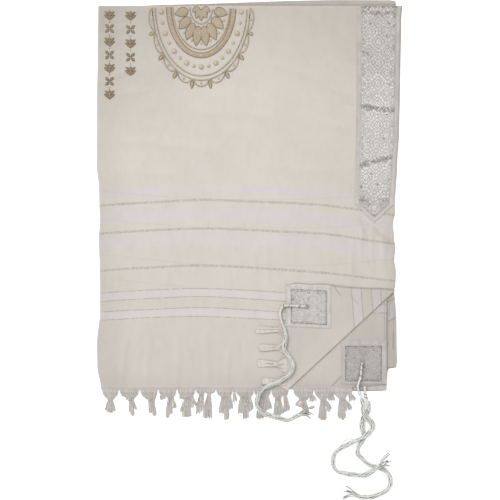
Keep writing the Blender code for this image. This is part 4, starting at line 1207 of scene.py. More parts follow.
def latticeBars(made):
    # one repeat of the brocade: nested lozenges in lines or in rungs of silver thread
    (wide, tall), dash = made["lattice"], made["dash"]
    bars = [(0.0, 0.0, 0.0, 0.6)]
    for share, rungs in made["rings"]:
        turns = [math.tau * i / 4 for i in range(5)]
        ends = [(wide / 2 * share * math.cos(t), tall / 2 * share * math.sin(t)) for t in turns]
        for (ax, ay), (bx, by) in zip(ends, ends[1:]):
            side = math.hypot(bx - ax, by - ay)
            count = max(1, round(side / (dash * (0.6 if rungs else 1.0))))
            long = 0.56 if rungs else side / count / dash
            turn = math.atan2(by - ay, bx - ax) + (math.pi / 2 if rungs else 0.0)
            for m in range(count):
                at = (m + 0.5) / count
                bars.append((ax + (bx - ax) * at, ay + (by - ay) * at, turn, long))
    return bars


def brocadeSites(made, box, inside, place, seed):
    # the silver threads of the lattice, some duller and a few nearly black
    chance = random.Random(seed)
    wide, tall = made["lattice"]
    bars = latticeBars(made)
    sites = []
    for row in range(math.floor(box[1] / tall * 2) - 1, math.ceil(box[3] / tall * 2) + 2):
        for column in range(math.floor(box[0] / wide) - 1, math.ceil(box[2] / wide) + 2):
            cx, cy = (column + (row % 2) / 2) * wide, row * tall / 2
            glow = chance.uniform(-0.16, 0.12)
            for a, b, turn, long in bars:
                if inside(cx + a, cy + b):
                    shade = 1.0 + glow + chance.uniform(-0.25, 0.10)
                    shade = 0.05 if chance.random() < 0.02 else max(0.0, min(1.0, shade))
                    size = chance.uniform(0.85, 1.1)
                    sites.append((*place(cx + a, cy + b), turn, size, shade, long))
    return sites


def collarFloats():
    start, shoulder = collar["start"], collar["shoulder"]
    lift = collar["brocadeWall"] + 0.0001

    def place(a, b):
        x = float(collarMiddle(b)) + a
        return x, float(b), float(collarGround(x, float(b))) + lift

    def halfWide(b):
        inner, outer = collarSides(b)
        point = min(1.0, (b - brocadeTip) / (shoulder - brocadeTip))
        return (float(outer - inner) / 2 - collar["ribbon"]) * point

    def inside(a, b):
        margin = collar["threadMargin"][0 if b > shoulder else 1]
        return brocadeTip + 0.006 < b < start - 0.004 and abs(a) < halfWide(b) - margin

    sites = brocadeSites(collar, (-0.05, brocadeTip, 0.05, start), inside, place, 21)
    chance = random.Random(22)
    pitch = collar["beadPitch"]
    for k in range(round((start - shoulder - 0.006) / pitch)):
        # the dark studs between the bright beads are painted shadow in the gaps
        for side in (-1, 1):  # the woven edge's beads, with dark gaps between
            b = shoulder + 0.004 + k * pitch + chance.uniform(-0.0012, 0.0012)
            bright = chance.random() < 0.68
            tone = chance.uniform(0.80, 1.0) if bright else chance.choice((0.0, 0.25, 0.5))
            size = chance.uniform(0.95, 1.4) if bright else chance.uniform(0.8, 1.2)
            turn = math.pi / 2 + chance.uniform(-0.7, 0.7)
            sites.append((*place(side * (halfWide(b) - collar["beadInset"]), b), turn, size, tone, 0.45))
            spot = place(side * (halfWide(b) - collar["smallInset"]), b + pitch / 2)
            sites.append((*spot, math.pi / 2, 0.6, chance.uniform(0.3, 0.9)))
    shaded = []
    # painted shade: threads in the creases and at the fold are darkened; darker too over the upper part
    # and near the point
    for x, y, z, turn, size, tone, *long in sites:  # darker in the creases and at both ends
        across = x - float(collarMiddle(y))
        close = min(abs(gap) for gap in (*creaseGaps(across, y), y - collar["fold"]))
        if close < collar["creaseReach"] and chance.random() < 0.65:
            tone *= 0.25
        elif y > 0.44:
            tone *= 0.84
        elif y < 0.13 and abs(across) > 0.012:
            tone *= 0.6
        shaded.append((x, y, z, turn, size, tone, *long))
    return shaded


def stitchLine(route, pitch, ground, raised, closed=False):
    # stitches along straight runs between the route's corners
    sites = []
    for start, end in zip(route, route[1:] + (route[:1] if closed else [])):
        start, end = Vector(start), Vector(end)
        run = end - start
        count = max(1, round(run.length / pitch))
        for i in range(count):
            spot = start + run * ((i + 0.5) / count)
            z = float(ground(spot.x, spot.y)) + raised
            sites.append((spot.x, spot.y, z, math.atan2(run.y, run.x), 1.0, 0.5))
    return sites


def collarStitches():
    shoulder = collar["shoulder"]
    ys = np.arange(collar["start"] - 0.004, shoulder, -0.012)
    routes = []
    for inset, tipUp in collar["stitchRows"]:
        for edge, inward in zip(collarSides(ys), (1, -1)):
            routes.append(list(zip((edge + inward * inset).tolist(), ys.tolist())))
    inner, outer = map(float, collarSides(shoulder))
    for inset, tipUp in collar["stitchRows"]:
        point = (float(collarMiddle(shoulder)), collar["tip"] + tipUp)
        routes.append([(inner + inset, shoulder), point, (outer - inset, shoulder)])
    raised = collar["ribbonWall"] + 0.0001
    lines = [stitchLine(route, collar["stitchPitch"], collarGround, raised) for route in routes]
    return sum(lines, [])


collarRibbon, collarBrocade, brocadeTip = makeCollar()
collarThreads = studs(
    "collarThreads",
    collarFloats(),
    collar["threads"]["sides"],
    1,
    collar["threads"]["unevenness"],
    4,
    threadLook["silver thread"],
)
dressed(collarThreads, "brocade")
collarSewing = dressed(stitches("collarSewing", collarStitches(), 2), "ribbon")
print("collar sewn on")


patch = {
    "inset": 0.0015,
    "ribbonWall": 0.0008,
    "brocadeWall": 0.0011,
    "brocadeRim": 0.0006,
    "cells": 34,
    "eyelet": 0.0036,
    "eyeletStitches": 22,
    "eyeletClear": 0.0065,
    "margin": 0.0022,
    "lattice": (0.0220, 0.0216),
    "rings": ((0.86, False), (0.46, True)),
    "dash": 0.0046,
    "threads": {"sides": (0.0043, 0.0020, 0.0009), "unevenness": 0.25},
    "stitchPitch": 0.0032,
    "stitchInset": 0.0016,  # in from the ribbon's edge
    "stitchOutset": 0.0013,  # out from the brocade's edge
}


def makePatch(name, layer, origin, right, down, sizes, ground, eyelet, looks, seed, bow=None):
    # sizes are the width and height, then the ribbon at the left, top, right and bottom
    wide, tall, leftR, topR, rightR, bottomR = sizes
    inset = patch["inset"]
    outerBox = (inset, inset, wide, tall)
    innerBox = (inset + leftR, inset + topR, wide - leftR - rightR, tall - topR - bottomR)
    sheets = []
    for kind, (left, top, width, height), raised, rim, look in (
        ("ribbon", outerBox, patch["ribbonWall"], patch["ribbonWall"], looks[0]),
        ("brocade", innerBox, patch["brocadeWall"], patch["brocadeRim"], looks[1]),
    ):
        a = np.linspace(left, left + width, patch["cells"])
        a, d = np.meshgrid(a, np.linspace(top, top + height, patch["cells"]))
        x = origin.x + right.x * a + down.x * d
        y = origin.y + right.y * a + down.y * d
        grid = np.stack([x, y, ground(x, y) + lay["gap"] + raised], -1)
        if bow and kind == "ribbon":
            grid[..., 1] += bow(x, (x - origin.x) * right.y - (y - origin.y) * right.x)
        maps = {"weave": pairs(a - left - width / 2, height / 2 + top - d)}
        sides = ("left", "right", "top", "bottom")
        sheet = gridSheet(name + kind.capitalize(), grid, maps, look, sides, rim)
        sheets.append(dressed(sheet, kind, "corner_%s_%s" % (kind, layer)))

    left, top, width, height = innerBox
    lift = lay["gap"] + patch["brocadeWall"] + 0.0001

    def place(a, b):
        spot = origin + right * (left + width / 2 + a) + down * (top + height / 2 - b)
        return spot.x, spot.y, float(ground(spot.x, spot.y)) + lift

    def inside(a, b):
        x, y, z = place(a, b)
        clear = math.hypot(x - eyelet[0], y - eyelet[1]) > patch["eyeletClear"]
        margin = patch["margin"]
        return abs(a) < width / 2 - margin and abs(b) < height / 2 - margin and clear

    box = (-width / 2, -height / 2, width / 2, height / 2)
    sites = brocadeSites(patch, box, inside, place, seed)
    sides, unevenness = patch["threads"]["sides"], patch["threads"]["unevenness"]
    threads = studs(name + "Threads", sites, sides, 1, unevenness, 9, looks[2])
    sewing = []
    for box, drawn in ((outerBox, patch["stitchInset"]), (innerBox, -patch["stitchOutset"])):
        left, top, width, height = box
        lefts, rights = left + drawn, left + width - drawn
        tops, bottoms = top + drawn, top + height - drawn
        turns = ((lefts, tops), (rights, tops), (rights, bottoms), (lefts, bottoms))
        route = [tuple(origin + right * a + down * d) for a, d in turns]
        raised = lay["gap"] + patch["ribbonWall"] + 0.0001
        sewing += stitchLine(route, patch["stitchPitch"], ground, raised, True)
    for k in range(patch["eyeletStitches"]):
        angle = math.tau * k / patch["eyeletStitches"]
        x = eyelet[0] + math.cos(angle) * patch["eyelet"]
        y = eyelet[1] + math.sin(angle) * patch["eyelet"]
        sewing.append((x, y, float(ground(x, y)) + lift, angle, 1.25, 0.6))
    sewn = stitches(name + "Sewing", sewing, 2)
    return *sheets, dressed(threads, "brocade"), dressed(sewn, "ribbon")


flapPatch = makePatch(
    "flapPatch",
    "front",
    corner["tip"],
    (corner["foldA"] - corner["tip"]).normalized(),
    (corner["foldB"] - corner["tip"]).normalized(),
    (0.1110, 0.1025, 0.0115, 0.0085, 0.0105, 0.0090),
    flapTop,
    (0.1435, -0.1410),
    (ribbonPatchLook, patchLook, threadLook["silver thread"]),
    31,
    flapBow,
)
secondPatch = makePatch(
    "secondPatch",
    "second",
    Vector((0.2280, -0.2243)),
    Vector((1, 0)),
    Vector((0, -1)),
    (0.1125, 0.1090, 0.0088, 0.0140, 0.0130, 0.0070),
    secondTop,
    (0.2822, -0.2790),
    (ribbonShadeLook, patchShadeLook, threadLook["silver thread below"]),
    32,
)

thirdStrip = {
    "left": 0.2590,
    "right": 0.3405,
    "bottom": -0.3512,
    "below": 0.0006,  # under the second layer's hem
    "under": 0.0038,
    "wall": 0.0010,
}


def makeThirdRibbon():
    x = np.linspace(thirdStrip["left"], thirdStrip["right"], 40)
    top = secondHem(x)[None, :] - thirdStrip["below"]
    shares = np.linspace(0, 1, 8)[:, None]
    y = top + (thirdStrip["bottom"] - top) * shares
    x = np.repeat(x[None, :], 8, 0)
    z = thirdStrip["under"] + thirdStrip["wall"] + 0.0002 * np.sin(x * 210) * shares
    grid, maps = np.stack([x, y, z], -1), {"weave": pairs(x, y)}
    sides = ("left", "right", "bottom")
    return gridSheet("thirdRibbon", grid, maps, ribbonShadeLook, sides, thirdStrip["wall"])


thirdRibbon = dressed(makeThirdRibbon(), "ribbon", "corner_ribbon_third")
print("patches sewn on")


hemming = {
    "rows": (0.0052, 0.0092),  # up from the hem
    "front": (-0.364, 0.083),
    "below": (0.112, 0.334),
    "spacing": 0.02,
    "stitchPitch": 0.0034,
}


def hemStitches():
    sites, spacing = [], hemming["spacing"]
    for up in hemming["rows"]:
        front = [(x, lay["hem"] + up) for x in np.arange(*hemming["front"], spacing)]
        below = [(x, float(secondHem(x)) + up) for x in np.arange(*hemming["below"], spacing)]
        for route, ground in ((front, clothTop), (below, secondTop)):
            sites += stitchLine(route, hemming["stitchPitch"], ground, 0.0001)
    return sites


hemSewing = dressed(stitches("hemSewing", hemStitches(), 5), "cloth")


fringe = {
    "pitch": 0.00118,  # from yarn to yarn at the root
    "clearance": 0.0005,
    "samples": 28,
    "slope": 0.04,  # how fast the locks sink towards their knots
    "tight": 0.85,  # how full the knots are of yarn
    "knotRise": 0.0020,
    "knotFrom": 0.0057,  # the half width from which a knot shows its turns
    "knotPitch": 0.0024,
    "knotLean": 0.0014,
    "knotHigh": 0.0022,
    "groove": 0.22,
    "turns": 30.0,
    # outline: the tone of each lock's outermost yarns, painted shade along its edges
    "hanging": {"thickness": 0.0021, "brush": 0.0090, "lift": 0.0016, "layer": 0.0006, "outline": 0.45},
    "laid": {"thickness": 0.0018, "brush": 0.0098, "lift": 0.0005, "layer": 0.0003, "outline": 0.0},
    "front": tenths(  # root from, root to, knot (across, out, half width), tips (across, out)
        (-3698, -3290, (-3490, 245, 72), ((-3570, 560), (-3490, 605), (-3410, 560))),
        (-3265, -2775, (-2975, 235, 70), ((-2985, 600), (-2945, 675), (-2880, 520))),
        (-3140, -3050, (-3090, 110, 26), ((-3165, 185), (-3060, 290))),
        (-2745, -2315, (-2465, 260, 90), ((-2490, 580), (-2435, 630), (-2385, 680))),
        (-2620, -2530, (-2560, 165, 30), ((-2570, 270),)),
        (-2240, -1850, (-1985, 200, 78), ((-2060, 710), (-1985, 640), (-1880, 470))),
        (-2270, -2120, (-2195, 120, 52), ((-2215, 285), (-2150, 265))),
        (-1790, -1420, (-1570, 215, 72), ((-1690, 590), (-1645, 705), (-1570, 715), (-1510, 705))),
        (-1800, -1660, (-1710, 130, 56), ((-1720, 270), (-1655, 270))),
        (-1510, -1370, (-1465, 150, 45), ((-1445, 475), (-1385, 430))),
        (-1335, -1130, (-1215, 120, 68), ((-1300, 620), (-1235, 580), (-1190, 520))),
        (-1130, -870, (-1025, 110, 50), ((-1120, 740), (-1055, 720), (-995, 740))),
        (-840, -440, (-640, 190, 92), ((-730, 600), (-665, 600))),
        (-740, -500, (-605, 210, 55), ((-600, 790), (-555, 750))),
        (-580, -440, (-520, 150, 45), ((-510, 500), (-475, 480))),
        (-425, -345, (-390, 60, 22), ((-385, 310), (-345, 330))),
        (-350, 60, (-160, 185, 100), ((-260, 610), (-205, 600))),
        (-250, -50, (-120, 250, 58), ((-135, 770), (-75, 740))),
        (-50, 85, (-15, 180, 50), ((0, 560), (40, 530))),
        (100, 520, (330, 200, 90), ((210, 760), (290, 730), (370, 700))),
        (330, 520, (430, 150, 45), ((450, 530), (500, 500))),
        (540, 840, (700, 220, 85), ((640, 650), (720, 680), (790, 650))),
        (760, 960, (880, 160, 50), ((890, 560), (950, 530))),
    ),
    "second": tenths(
        (1080, 1550, (1340, 240, 120), ((1180, 440), (1260, 500))),
        (1240, 1450, (1350, 250, 55), ((1370, 700), (1430, 680))),
        (1460, 1580, (1530, 120, 45), ((1540, 340), (1620, 320))),
        (1600, 2060, (1815, 275, 60), ((1760, 780), (1820, 785), (1870, 780))),
        (1830, 1960, (1870, 240, 36), ((1960, 600), (1995, 560))),
        (1990, 2120, (2040, 110, 60), ((2005, 330), (2080, 320))),
        (2080, 2480, (2290, 250, 66), ((2235, 740), (2300, 775), (2350, 760))),
        (2240, 2420, (2340, 240, 55), ((2390, 560), (2450, 560), (2520, 540))),
        (2440, 2560, (2500, 100, 45), ((2520, 320), (2600, 310))),
    ),
    "flap": tenths(
        (960, 1280, (1130, 175, 62), ((1085, 735), (1175, 775))),
        (1400, 1730, (1575, 165, 58), ((1535, 710), (1620, 700))),
        (1830, 2190, (1995, 185, 58), ((1920, 735), (2010, 735))),
        (2260, 2600, (2420, 200, 55), ((2370, 610), (2455, 620))),
    ),
}


def fringeLines(table, make, place, rootZ, ground, seed):
    chance = random.Random(seed)
    radius, halfWall = make["thickness"] / 2, lay["wall"] / 2
    tight, pitch = fringe["tight"], fringe["knotPitch"]
    lines = []

    def spot(across, out, z):
        return Vector((*place(across, out), z))

    for rootFrom, rootTo, (knotAcross, knotOut, knotHalf), tips in table:
        count = max(8, round((rootTo - rootFrom) / fringe["pitch"]))
        lowest = ground(*place(knotAcross, knotOut)) + fringe["clearance"] + fringe["knotRise"] + radius
        rootHeight = rootZ((rootFrom + rootTo) / 2) + halfWall
        knotZ = max(lowest, rootHeight - 0.0030 - fringe["slope"] * knotOut)
        knotAt = max(knotOut, 0.0065)
        # each brush ends in three ragged parts
        ends = [[chance.uniform(-0.0040, 0.0010) for _ in range(3)] for _ in tips]
        for i in range(count):
            share = (i + 0.5) / count
            root = rootFrom + (rootTo - rootFrom) * share
            inKnot = knotAcross + knotHalf * (2 * share - 1) * tight
            layer = chance.uniform(-1, 1) * make["layer"]
            which = min(int(share * len(tips)), len(tips) - 1)
            # each lock's yarns spread evenly across its brush
            within = (i * 0.618) % 1 - 0.5 + chance.uniform(-0.03, 0.03)
            tipAcross, tipOut = tips[which]
            part = min(2, max(0, int((within + 0.5) * 3)))
            middle = abs((within + 0.5) * 3 - part - 0.5)
            reach = ends[which][part] - 0.0040 * middle + chance.uniform(-0.0010, 0.0010)
            belly = tipAcross + within * make["brush"] * 0.9
            tipAcross += within * make["brush"] + chance.uniform(-0.0005, 0.0005)
            lift = chance.uniform(0.0002, make["lift"])
            low = ground(*place(tipAcross, tipOut)) + radius + lift
            start = rootZ(root) + halfWall
            sway = chance.uniform(-0.0008, 0.0008)
            inward, onward = inKnot - root, tipOut - knotAt
            halfway = start + (knotZ - start) * 0.45 + layer * 0.5
            opening = inKnot + (belly - inKnot) * 0.55
            route = [
                spot(root, -0.0030, start),
                spot(root + inward * 0.03, 0.0015, start),
                spot(root + inward * 0.20 + sway, knotAt * 0.50 + 0.0006, halfway),
                spot(root + inward * 0.72, knotAt * 0.86, knotZ + layer),
                spot(inKnot, knotAt + 0.0015, knotZ + layer * 1.2),
                spot(opening, knotAt + onward * 0.33, knotZ + (low - knotZ) * 0.5 + layer * 0.8),
                spot(belly, knotAt + onward * 0.66, low + 0.0003),
                spot(tipAcross, tipOut + reach, low),
            ]
            # the outermost yarns of each lock take the outline tone: painted shade along the lock's
            # edges
            tone = make["outline"] if abs(within) > 0.45 else 1.0 - 0.6 * chance.random() ** 3
            lines.append((curveLine(route, fringe["samples"]), False, tone))
        for wrap in range(3 if knotHalf > fringe["knotFrom"] else 0):  # the knot's own turns
            out = knotAt - pitch + pitch * wrap
            ring = []
            for angle in (math.tau * k / 16 for k in range(16)):
                across = knotAcross + math.cos(angle) * (knotHalf * tight + 0.0010)
                lean = math.cos(angle) * fringe["knotLean"] * (1 if wrap % 2 else -1)
                ring.append(spot(across, out + lean, knotZ + math.sin(angle) * fringe["knotHigh"]))
            lines.append((ring, True, 0.75))
    return lines


def makeFringe(key, seed, kind, place, rootZ, ground, finish):
    make = fringe[kind]
    lines = fringeLines(fringe[key], make, place, rootZ, ground, seed)
    thick, groove, turns = make["thickness"], fringe["groove"], fringe["turns"]
    piece = yarns(key + "Fringe", lines, thick, groove, turns, threadLook[finish])
    return dressed(piece, "fringe", "fringe_" + key)


flapEdge = (corner["foldB"] - corner["outward"] * corner["outer"] - corner["tip"]).normalized()
frontFringe = makeFringe(
    "front",
    11,
    "hanging",
    lambda across, out: (across, lay["hem"] - out),
    lambda across: float(clothTop(across, lay["hem"])) - lay["wall"],
    lambda x, y: 0.0,
    "fringe yarn",
)
secondFringe = makeFringe(
    "second",
    12,
    "hanging",
    lambda across, out: (across, second["hem"][0][1] - out),
    lambda across: lay["secondBase"],
    lambda x, y: 0.0,
    "fringe yarn below",
)
flapFringe = makeFringe(
    "flap",
    13,
    "laid",
    lambda across, out: tuple(corner["tip"] + flapEdge * across + Vector((-out, 0.0))),
    lambda across: float(frontUnder(*(corner["tip"] + flapEdge * across))) + corner["lift"],
    lambda x, y: float(clothTop(x, y)),
    "fringe yarn on the cloth",
)
print("fringe knotted")


tassel = {
    "across": 4,
    "deep": 2,
    "bundleWide": 0.0043,
    "bundleHigh": 0.0027,
    "headShare": 0.28,  # how much narrower the strands lie in the head
    "twistLength": 0.24,
    "tipSpread": 0.0190,
    "tipLeans": (-1.0, 0.1, 0.9),  # the strands part into three locks
    "tipLength": 0.040,
    "greyEnd": 0.034,
    "tipShortening": 0.009,
    "sway": 0.0006,
    "thickness": 0.0028,
    "samples": 700,
    "pointsPerStrand": 330,
    "groove": 0.16,
    "turns": 42.0,
    "windPitch": 0.0021,
    "wind": (0.0017, 0.0015),  # half width and half height of the winding round the head
    "knot": (0.0026, 0.0023),
    "knotRun": 0.006,
    "knotSpacing": 0.022,
    "giltWrap": (0.0036, 0.0035),
    "giltRun": 0.0050,
    "giltThickness": 0.0021,
    "giltGroove": 0.2,
    "giltTurns": 60.0,
    "front": {
        "head": 0.125,
        "gilt": (0.0, 0.0155, 0.0415, 0.056),
        "loose": ((0.17, 0.72, -0.35), (0.74, 0.86, 0.25)),
        "loops": (),
        "route": tenths(
            (1420, -1410, 146), (1213, -1398, 148), (968, -1388, 148), (835, -1408, 140),
            (768, -1510, 124), (758, -1643, 122), (800, -1823, 140), (878, -2000, 152),
            (890, -2170, 152), (858, -2313, 150), (850, -2470, 150), (923, -2603, 150),
            (1035, -2760, 150), (1080, -2893, 150), (1035, -3050, 150), (900, -3183, 154),
            (700, -3295, 146), (478, -3385, 140), (298, -3495, 130), (198, -3630, 112),
            (165, -3785, 96), (200, -3942, 84), (310, -4062, 80), (458, -4118, 78), (620, -4170, 78),
            (788, -4220, 76), (955, -4245, 62), (1095, -4180, 62), (1223, -4118, 64),
            (1390, -4060, 70), (1600, -4085, 76),
        ),
    },
    "second": {
        "head": 0.085,
        "gilt": (0.0, 0.006, 0.018, 0.032),
        "loose": ((0.16, 0.44, 0.35), (0.80, 0.92, 0.4)),
        "loops": ((3, 0.45, 0.56, 0.008),),
        "route": tenths(
            (2820, -2800, 108), (2790, -2883, 110), (2780, -3010, 110), (2765, -3175, 110),
            (2715, -3318, 106), (2695, -3430, 96), (2728, -3560, 90), (2780, -3700, 84),
            (2818, -3830, 82), (2828, -3960, 84), (2848, -4075, 98), (2900, -4165, 114),
            (2968, -4235, 112), (3040, -4330, 80), (3058, -4425, 70), (3010, -4525, 86),
            (2905, -4625, 112), (2780, -4700, 112), (2580, -4795, 80), (2375, -4895, 44),
            (2190, -5010, 40), (2090, -5130, 38), (2068, -5280, 38), (2092, -5425, 38),
            (2180, -5530, 38), (2335, -5570, 38), (2530, -5608, 38), (2720, -5632, 38),
            (2890, -5612, 42), (3010, -5545, 70), (3130, -5472, 108), (3260, -5388, 112),
            (3380, -5300, 90), (3530, -5265, 60),
        ),
    },
    "third": {
        "head": 0.030,
        "gilt": (0.018, 0.027),
        "loose": ((0.06, 0.34, 0.3),),
        "loops": ((5, 0.50, 0.60, -0.008),),
        "route": tenths(
            (2868, -3400, 86), (2872, -3520, 84), (2888, -3648, 62), (2930, -3770, 44),
            (2968, -3890, 38), (2950, -4020, 36), (2870, -4140, 36), (2815, -4245, 36),
            (2800, -4360, 36), (2808, -4470, 36), (2838, -4580, 36), (2850, -4680, 36),
            (2815, -4780, 36), (2750, -4870, 36), (2700, -4970, 36), (2692, -5080, 36),
            (2738, -5170, 36), (2855, -5270, 36), (2995, -5360, 36), (3150, -5420, 36),
            (3290, -5470, 36), (3405, -5540, 36), (3480, -5640, 36), (3512, -5755, 36),
            (3500, -5880, 36), (3425, -5990, 36), (3300, -6080, 36), (3120, -6150, 36),
            (2920, -6180, 36), (2770, -6170, 36), (2620, -6105, 36), (2480, -6050, 36),
            (2330, -6030, 38),
        ),
    },
}


def travel(points, i):
    before, after = points[max(i - 1, 0)], points[min(i + 1, len(points) - 1)]
    forward = (after - before).normalized()
    side = forward.cross(Vector((0, 0, 1))).normalized()
    return side, side.cross(forward)


def along(line, at):
    # where a share of the line's points leads, and the two ways across it there
    i = min(int(at), len(line) - 2)
    return line[i].lerp(line[i + 1], at - i), *travel(line, i)


def winding(line, step, start, end, halves, pitch, turnPoints=11):
    # a thread wound round the line between two lengths
    wide, high = halves
    count = max(8, round((end - start) / pitch * turnPoints))
    points = []
    for k in range(count + 1):
        here, side, up = along(line, (start + (end - start) * k / count) / step)
        angle = math.tau * k / turnPoints
        points.append(here + side * (wide * math.cos(angle)) + up * (high * math.sin(angle)))
    return points, False, 1.0


def swell(at, start, end):
    # 0 outside a stretch and 1 in its middle
    return math.sin(math.pi * (at - start) / (end - start)) ** 2 if start < at < end else 0.0


def strand(line, step, plan, chance, c, r):
    across, deep, count = tassel["across"], tassel["deep"], tassel["pointsPerStrand"]
    last = len(line) - 1
    headEnd = round(plan["head"] / step)
    parting = last - round(tassel["tipLength"] / step)
    bodyStart = headEnd + (parting - headEnd) / 27
    phase = math.pi * (across - c - 0.5) / across * (1 if r == 1 else -1)
    lean = tassel["tipLeans"][(c * deep + r) % 3] * tassel["tipSpread"]
    tip = last - tassel["tipShortening"] * ((c * 3 + r * 5) % 7) / 6 / step
    waves = [(chance.uniform(0.03, 0.09), chance.uniform(0, math.tau)) for _ in range(3)]
    points = []
    for k in range(count):
        at = tip * k / (count - 1)
        here, side, up = along(line, at)
        turn = phase + math.tau * (at - bodyStart) * step / tassel["twistLength"]
        flare = max(0.0, (at - parting) / (last - parting))
        free = min(1.0, max(0.0, (at - headEnd) / (bodyStart - headEnd)))
        narrow = max(tassel["headShare"], free)
        wide = tassel["bundleWide"] * narrow * (1 - 0.5 * flare)
        for start, end, much in plan["loose"]:
            wide *= 1 + much * swell(at / last, start, end)
        drift = sum(math.sin(math.tau * at * step / w + p) for w, p in waves) * tassel["sway"] * free
        drift += lean * flare**1.3
        for number, start, end, much in plan["loops"]:
            if number == c * deep + r:
                drift += much * swell(at / last, start, end)
        spot = here + side * (wide * math.cos(turn) + drift)
        spot += up * (tassel["bundleHigh"] * narrow * math.sin(turn))
        spot.z = max(spot.z, tassel["thickness"] / 2 + 0.0001)
        points.append(spot)
    spacing = tip * step / count
    tone = [min(1.0, (count - 1 - k) * spacing / tassel["greyEnd"]) for k in range(count)]
    return points, False, tone


def makeTassel(key, seed, look):
    plan = tassel[key]
    chance = random.Random(seed)
    line, length = spacedOut(plan["route"], tassel["samples"], 1400)
    step = length / (tassel["samples"] - 1)
    lines = [
        strand(line, step, plan, chance, c, r)
        for c in range(tassel["across"])
        for r in range(tassel["deep"])
    ]
    head, pitch = plan["head"], tassel["windPitch"]
    lines.append(winding(line, step, 0.001, head, tassel["wind"], pitch))
    knots, reach = max(1, round(head / tassel["knotSpacing"])), tassel["knotRun"] / 2
    for k in range(knots + 1):
        at = 0.004 + (head - 0.008) * k / knots
        lines.append(winding(line, step, max(0.0, at - reach), at + reach, tassel["knot"], pitch))
    name = key + "Tassel"
    thick, groove, turns = tassel["thickness"], tassel["groove"], tassel["turns"]
    dressed(yarns(name, lines, thick, groove, turns, threadLook[look]), "tassel", "tassel_" + key)
    run = tassel["giltRun"]
    gilt = [winding(line, step, at, at + run, tassel["giltWrap"], run * 2, 24) for at in plan["gilt"]]
    thick, groove, turns = (tassel[key] for key in ("giltThickness", "giltGroove", "giltTurns"))
    dressed(yarns(name + "Gilt", gilt, thick, groove, turns, threadLook["gilt thread"]), "tassel")


makeTassel("front", 41, "tassel cord on the cloth")
makeTassel("second", 42, "tassel cord")
makeTassel("third", 43, "tassel cord")
print("tassels wound")


# half a rosette at the far fold, and two rows of sprigs
needlework = {
    "centre": (-0.122, 0.6085),
    "half": (0.122, 0.184),
    "raised": 0.0014,
    "cord": 0.0030,
    "groove": 0.2,
    "cordTurns": 70.0,
    "edgingTurns": 90.0,
    "bead": (0.0100, 0.0100, 0.0056),
    "beadUnevenness": 0.04,
    "leafRows": 12,
    "leafColumns": 7,
    "columns": ((-0.3510, 0.603, 0.372), (-0.2985, 0.603, 0.430)),
    "sprig": 0.033,
}


class Needlework:
    # collects satin leaves, bands, cords, edgings and beads that lie on the cloth; the edgings are dark
    # outline yarns, painted shadow round each satin shape
    def __init__(self):
        self.points, self.faces, self.weave = [], [], []
        self.cords, self.edges, self.beads = [], [], []

    def above(self, spot, raised, sunk=0.0):
        return Vector((spot[0], spot[1], float(clothTop(spot[0], spot[1])) + raised - sunk))

    def strip(self, spine, halves):
        # a padded strip along a spine, stitched across it
        columns = needlework["leafColumns"]
        first = len(self.points)
        rims = [[], []]
        length = 0.0
        for r, (here, half) in enumerate(zip(spine, halves)):
            before, after = spine[max(r - 1, 0)], spine[min(r + 1, len(spine) - 1)]
            run = after - before
            side = Vector((-run.y, run.x)).normalized()
            length += (here - before).length
            for c in range(columns):
                t = 2 * c / (columns - 1) - 1
                crown = needlework["raised"] * math.sqrt(max(0.0, 1 - t * t))
                crown *= min(1.0, half / max(halves) * 2)
                self.points.append(self.above(here + side * (half * t), crown, 0.0001))
                self.weave.append((half * t, length))
            for rim, sign in zip(rims, (-1, 1)):
                rim.append(self.above(here + side * (half * sign * 1.02), 0.0003))
        for a in range(first, first + (len(spine) - 1) * columns):
            if (a - first) % columns < columns - 1:
                self.faces.append((a, a + 1, a + columns + 1, a + columns))
        # a dark outline yarn round the strip: painted shadow at its edge
        self.edges.append((rims[0] + rims[1][::-1], True, 1.0))

    def leaf(self, start, end, width, bend=0.0, blunt=1.0):
        start, end = Vector(start), Vector(end)
        run = end - start
        side = Vector((-run.y, run.x)).normalized()
        spine, halves = [], []
        for r in range(needlework["leafRows"] + 1):
            share = r / needlework["leafRows"]
            spine.append(start + run * share + side * (bend * math.sin(math.pi * share)))
            halves.append(width / 2 * max(0.02, math.sin(math.pi * share**blunt)) ** 0.75)
        self.strip(spine, halves)

    def band(self, route, width, samples):
        spine = [point.to_2d() for point in curveLine([(*p, 0.0) for p in route], samples)]
        self.strip(spine, [width / 2] * len(spine))

    def cord(self, route, samples):
        line = curveLine([(*p, 0.0) for p in route], samples)
        self.cords.append(([self.above(p, 0.0009) for p in line], False, 1.0))

    def bead(self, x, y, size=1.0, tone=0.6):
        self.beads.append((*self.above((x, y), 0.0002), 0.0, size, tone))

    def make(self, name, satin, cord, edging, thick):
        cord, edging = threadLook[cord], threadLook[edging]
        bead, unevenness = needlework["bead"], needlework["beadUnevenness"]
        groove, turns = needlework["groove"], needlework["edgingTurns"]
        made = [
            shell(name + "Leaves", self.points, self.faces, {"weave": self.weave}, satin),
            yarns(name + "ShadowEdging", self.edges, thick, groove, turns, edging),
            studs(name + "Beads", self.beads, bead, 3, unevenness, 3, cord),
        ]
        if self.cords:
            thick, turns = needlework["cord"], needlework["cordTurns"]
            made.append(yarns(name + "Cords", self.cords, thick, groove, turns, cord))
        return [dressed(piece, "brocade") for piece in made]


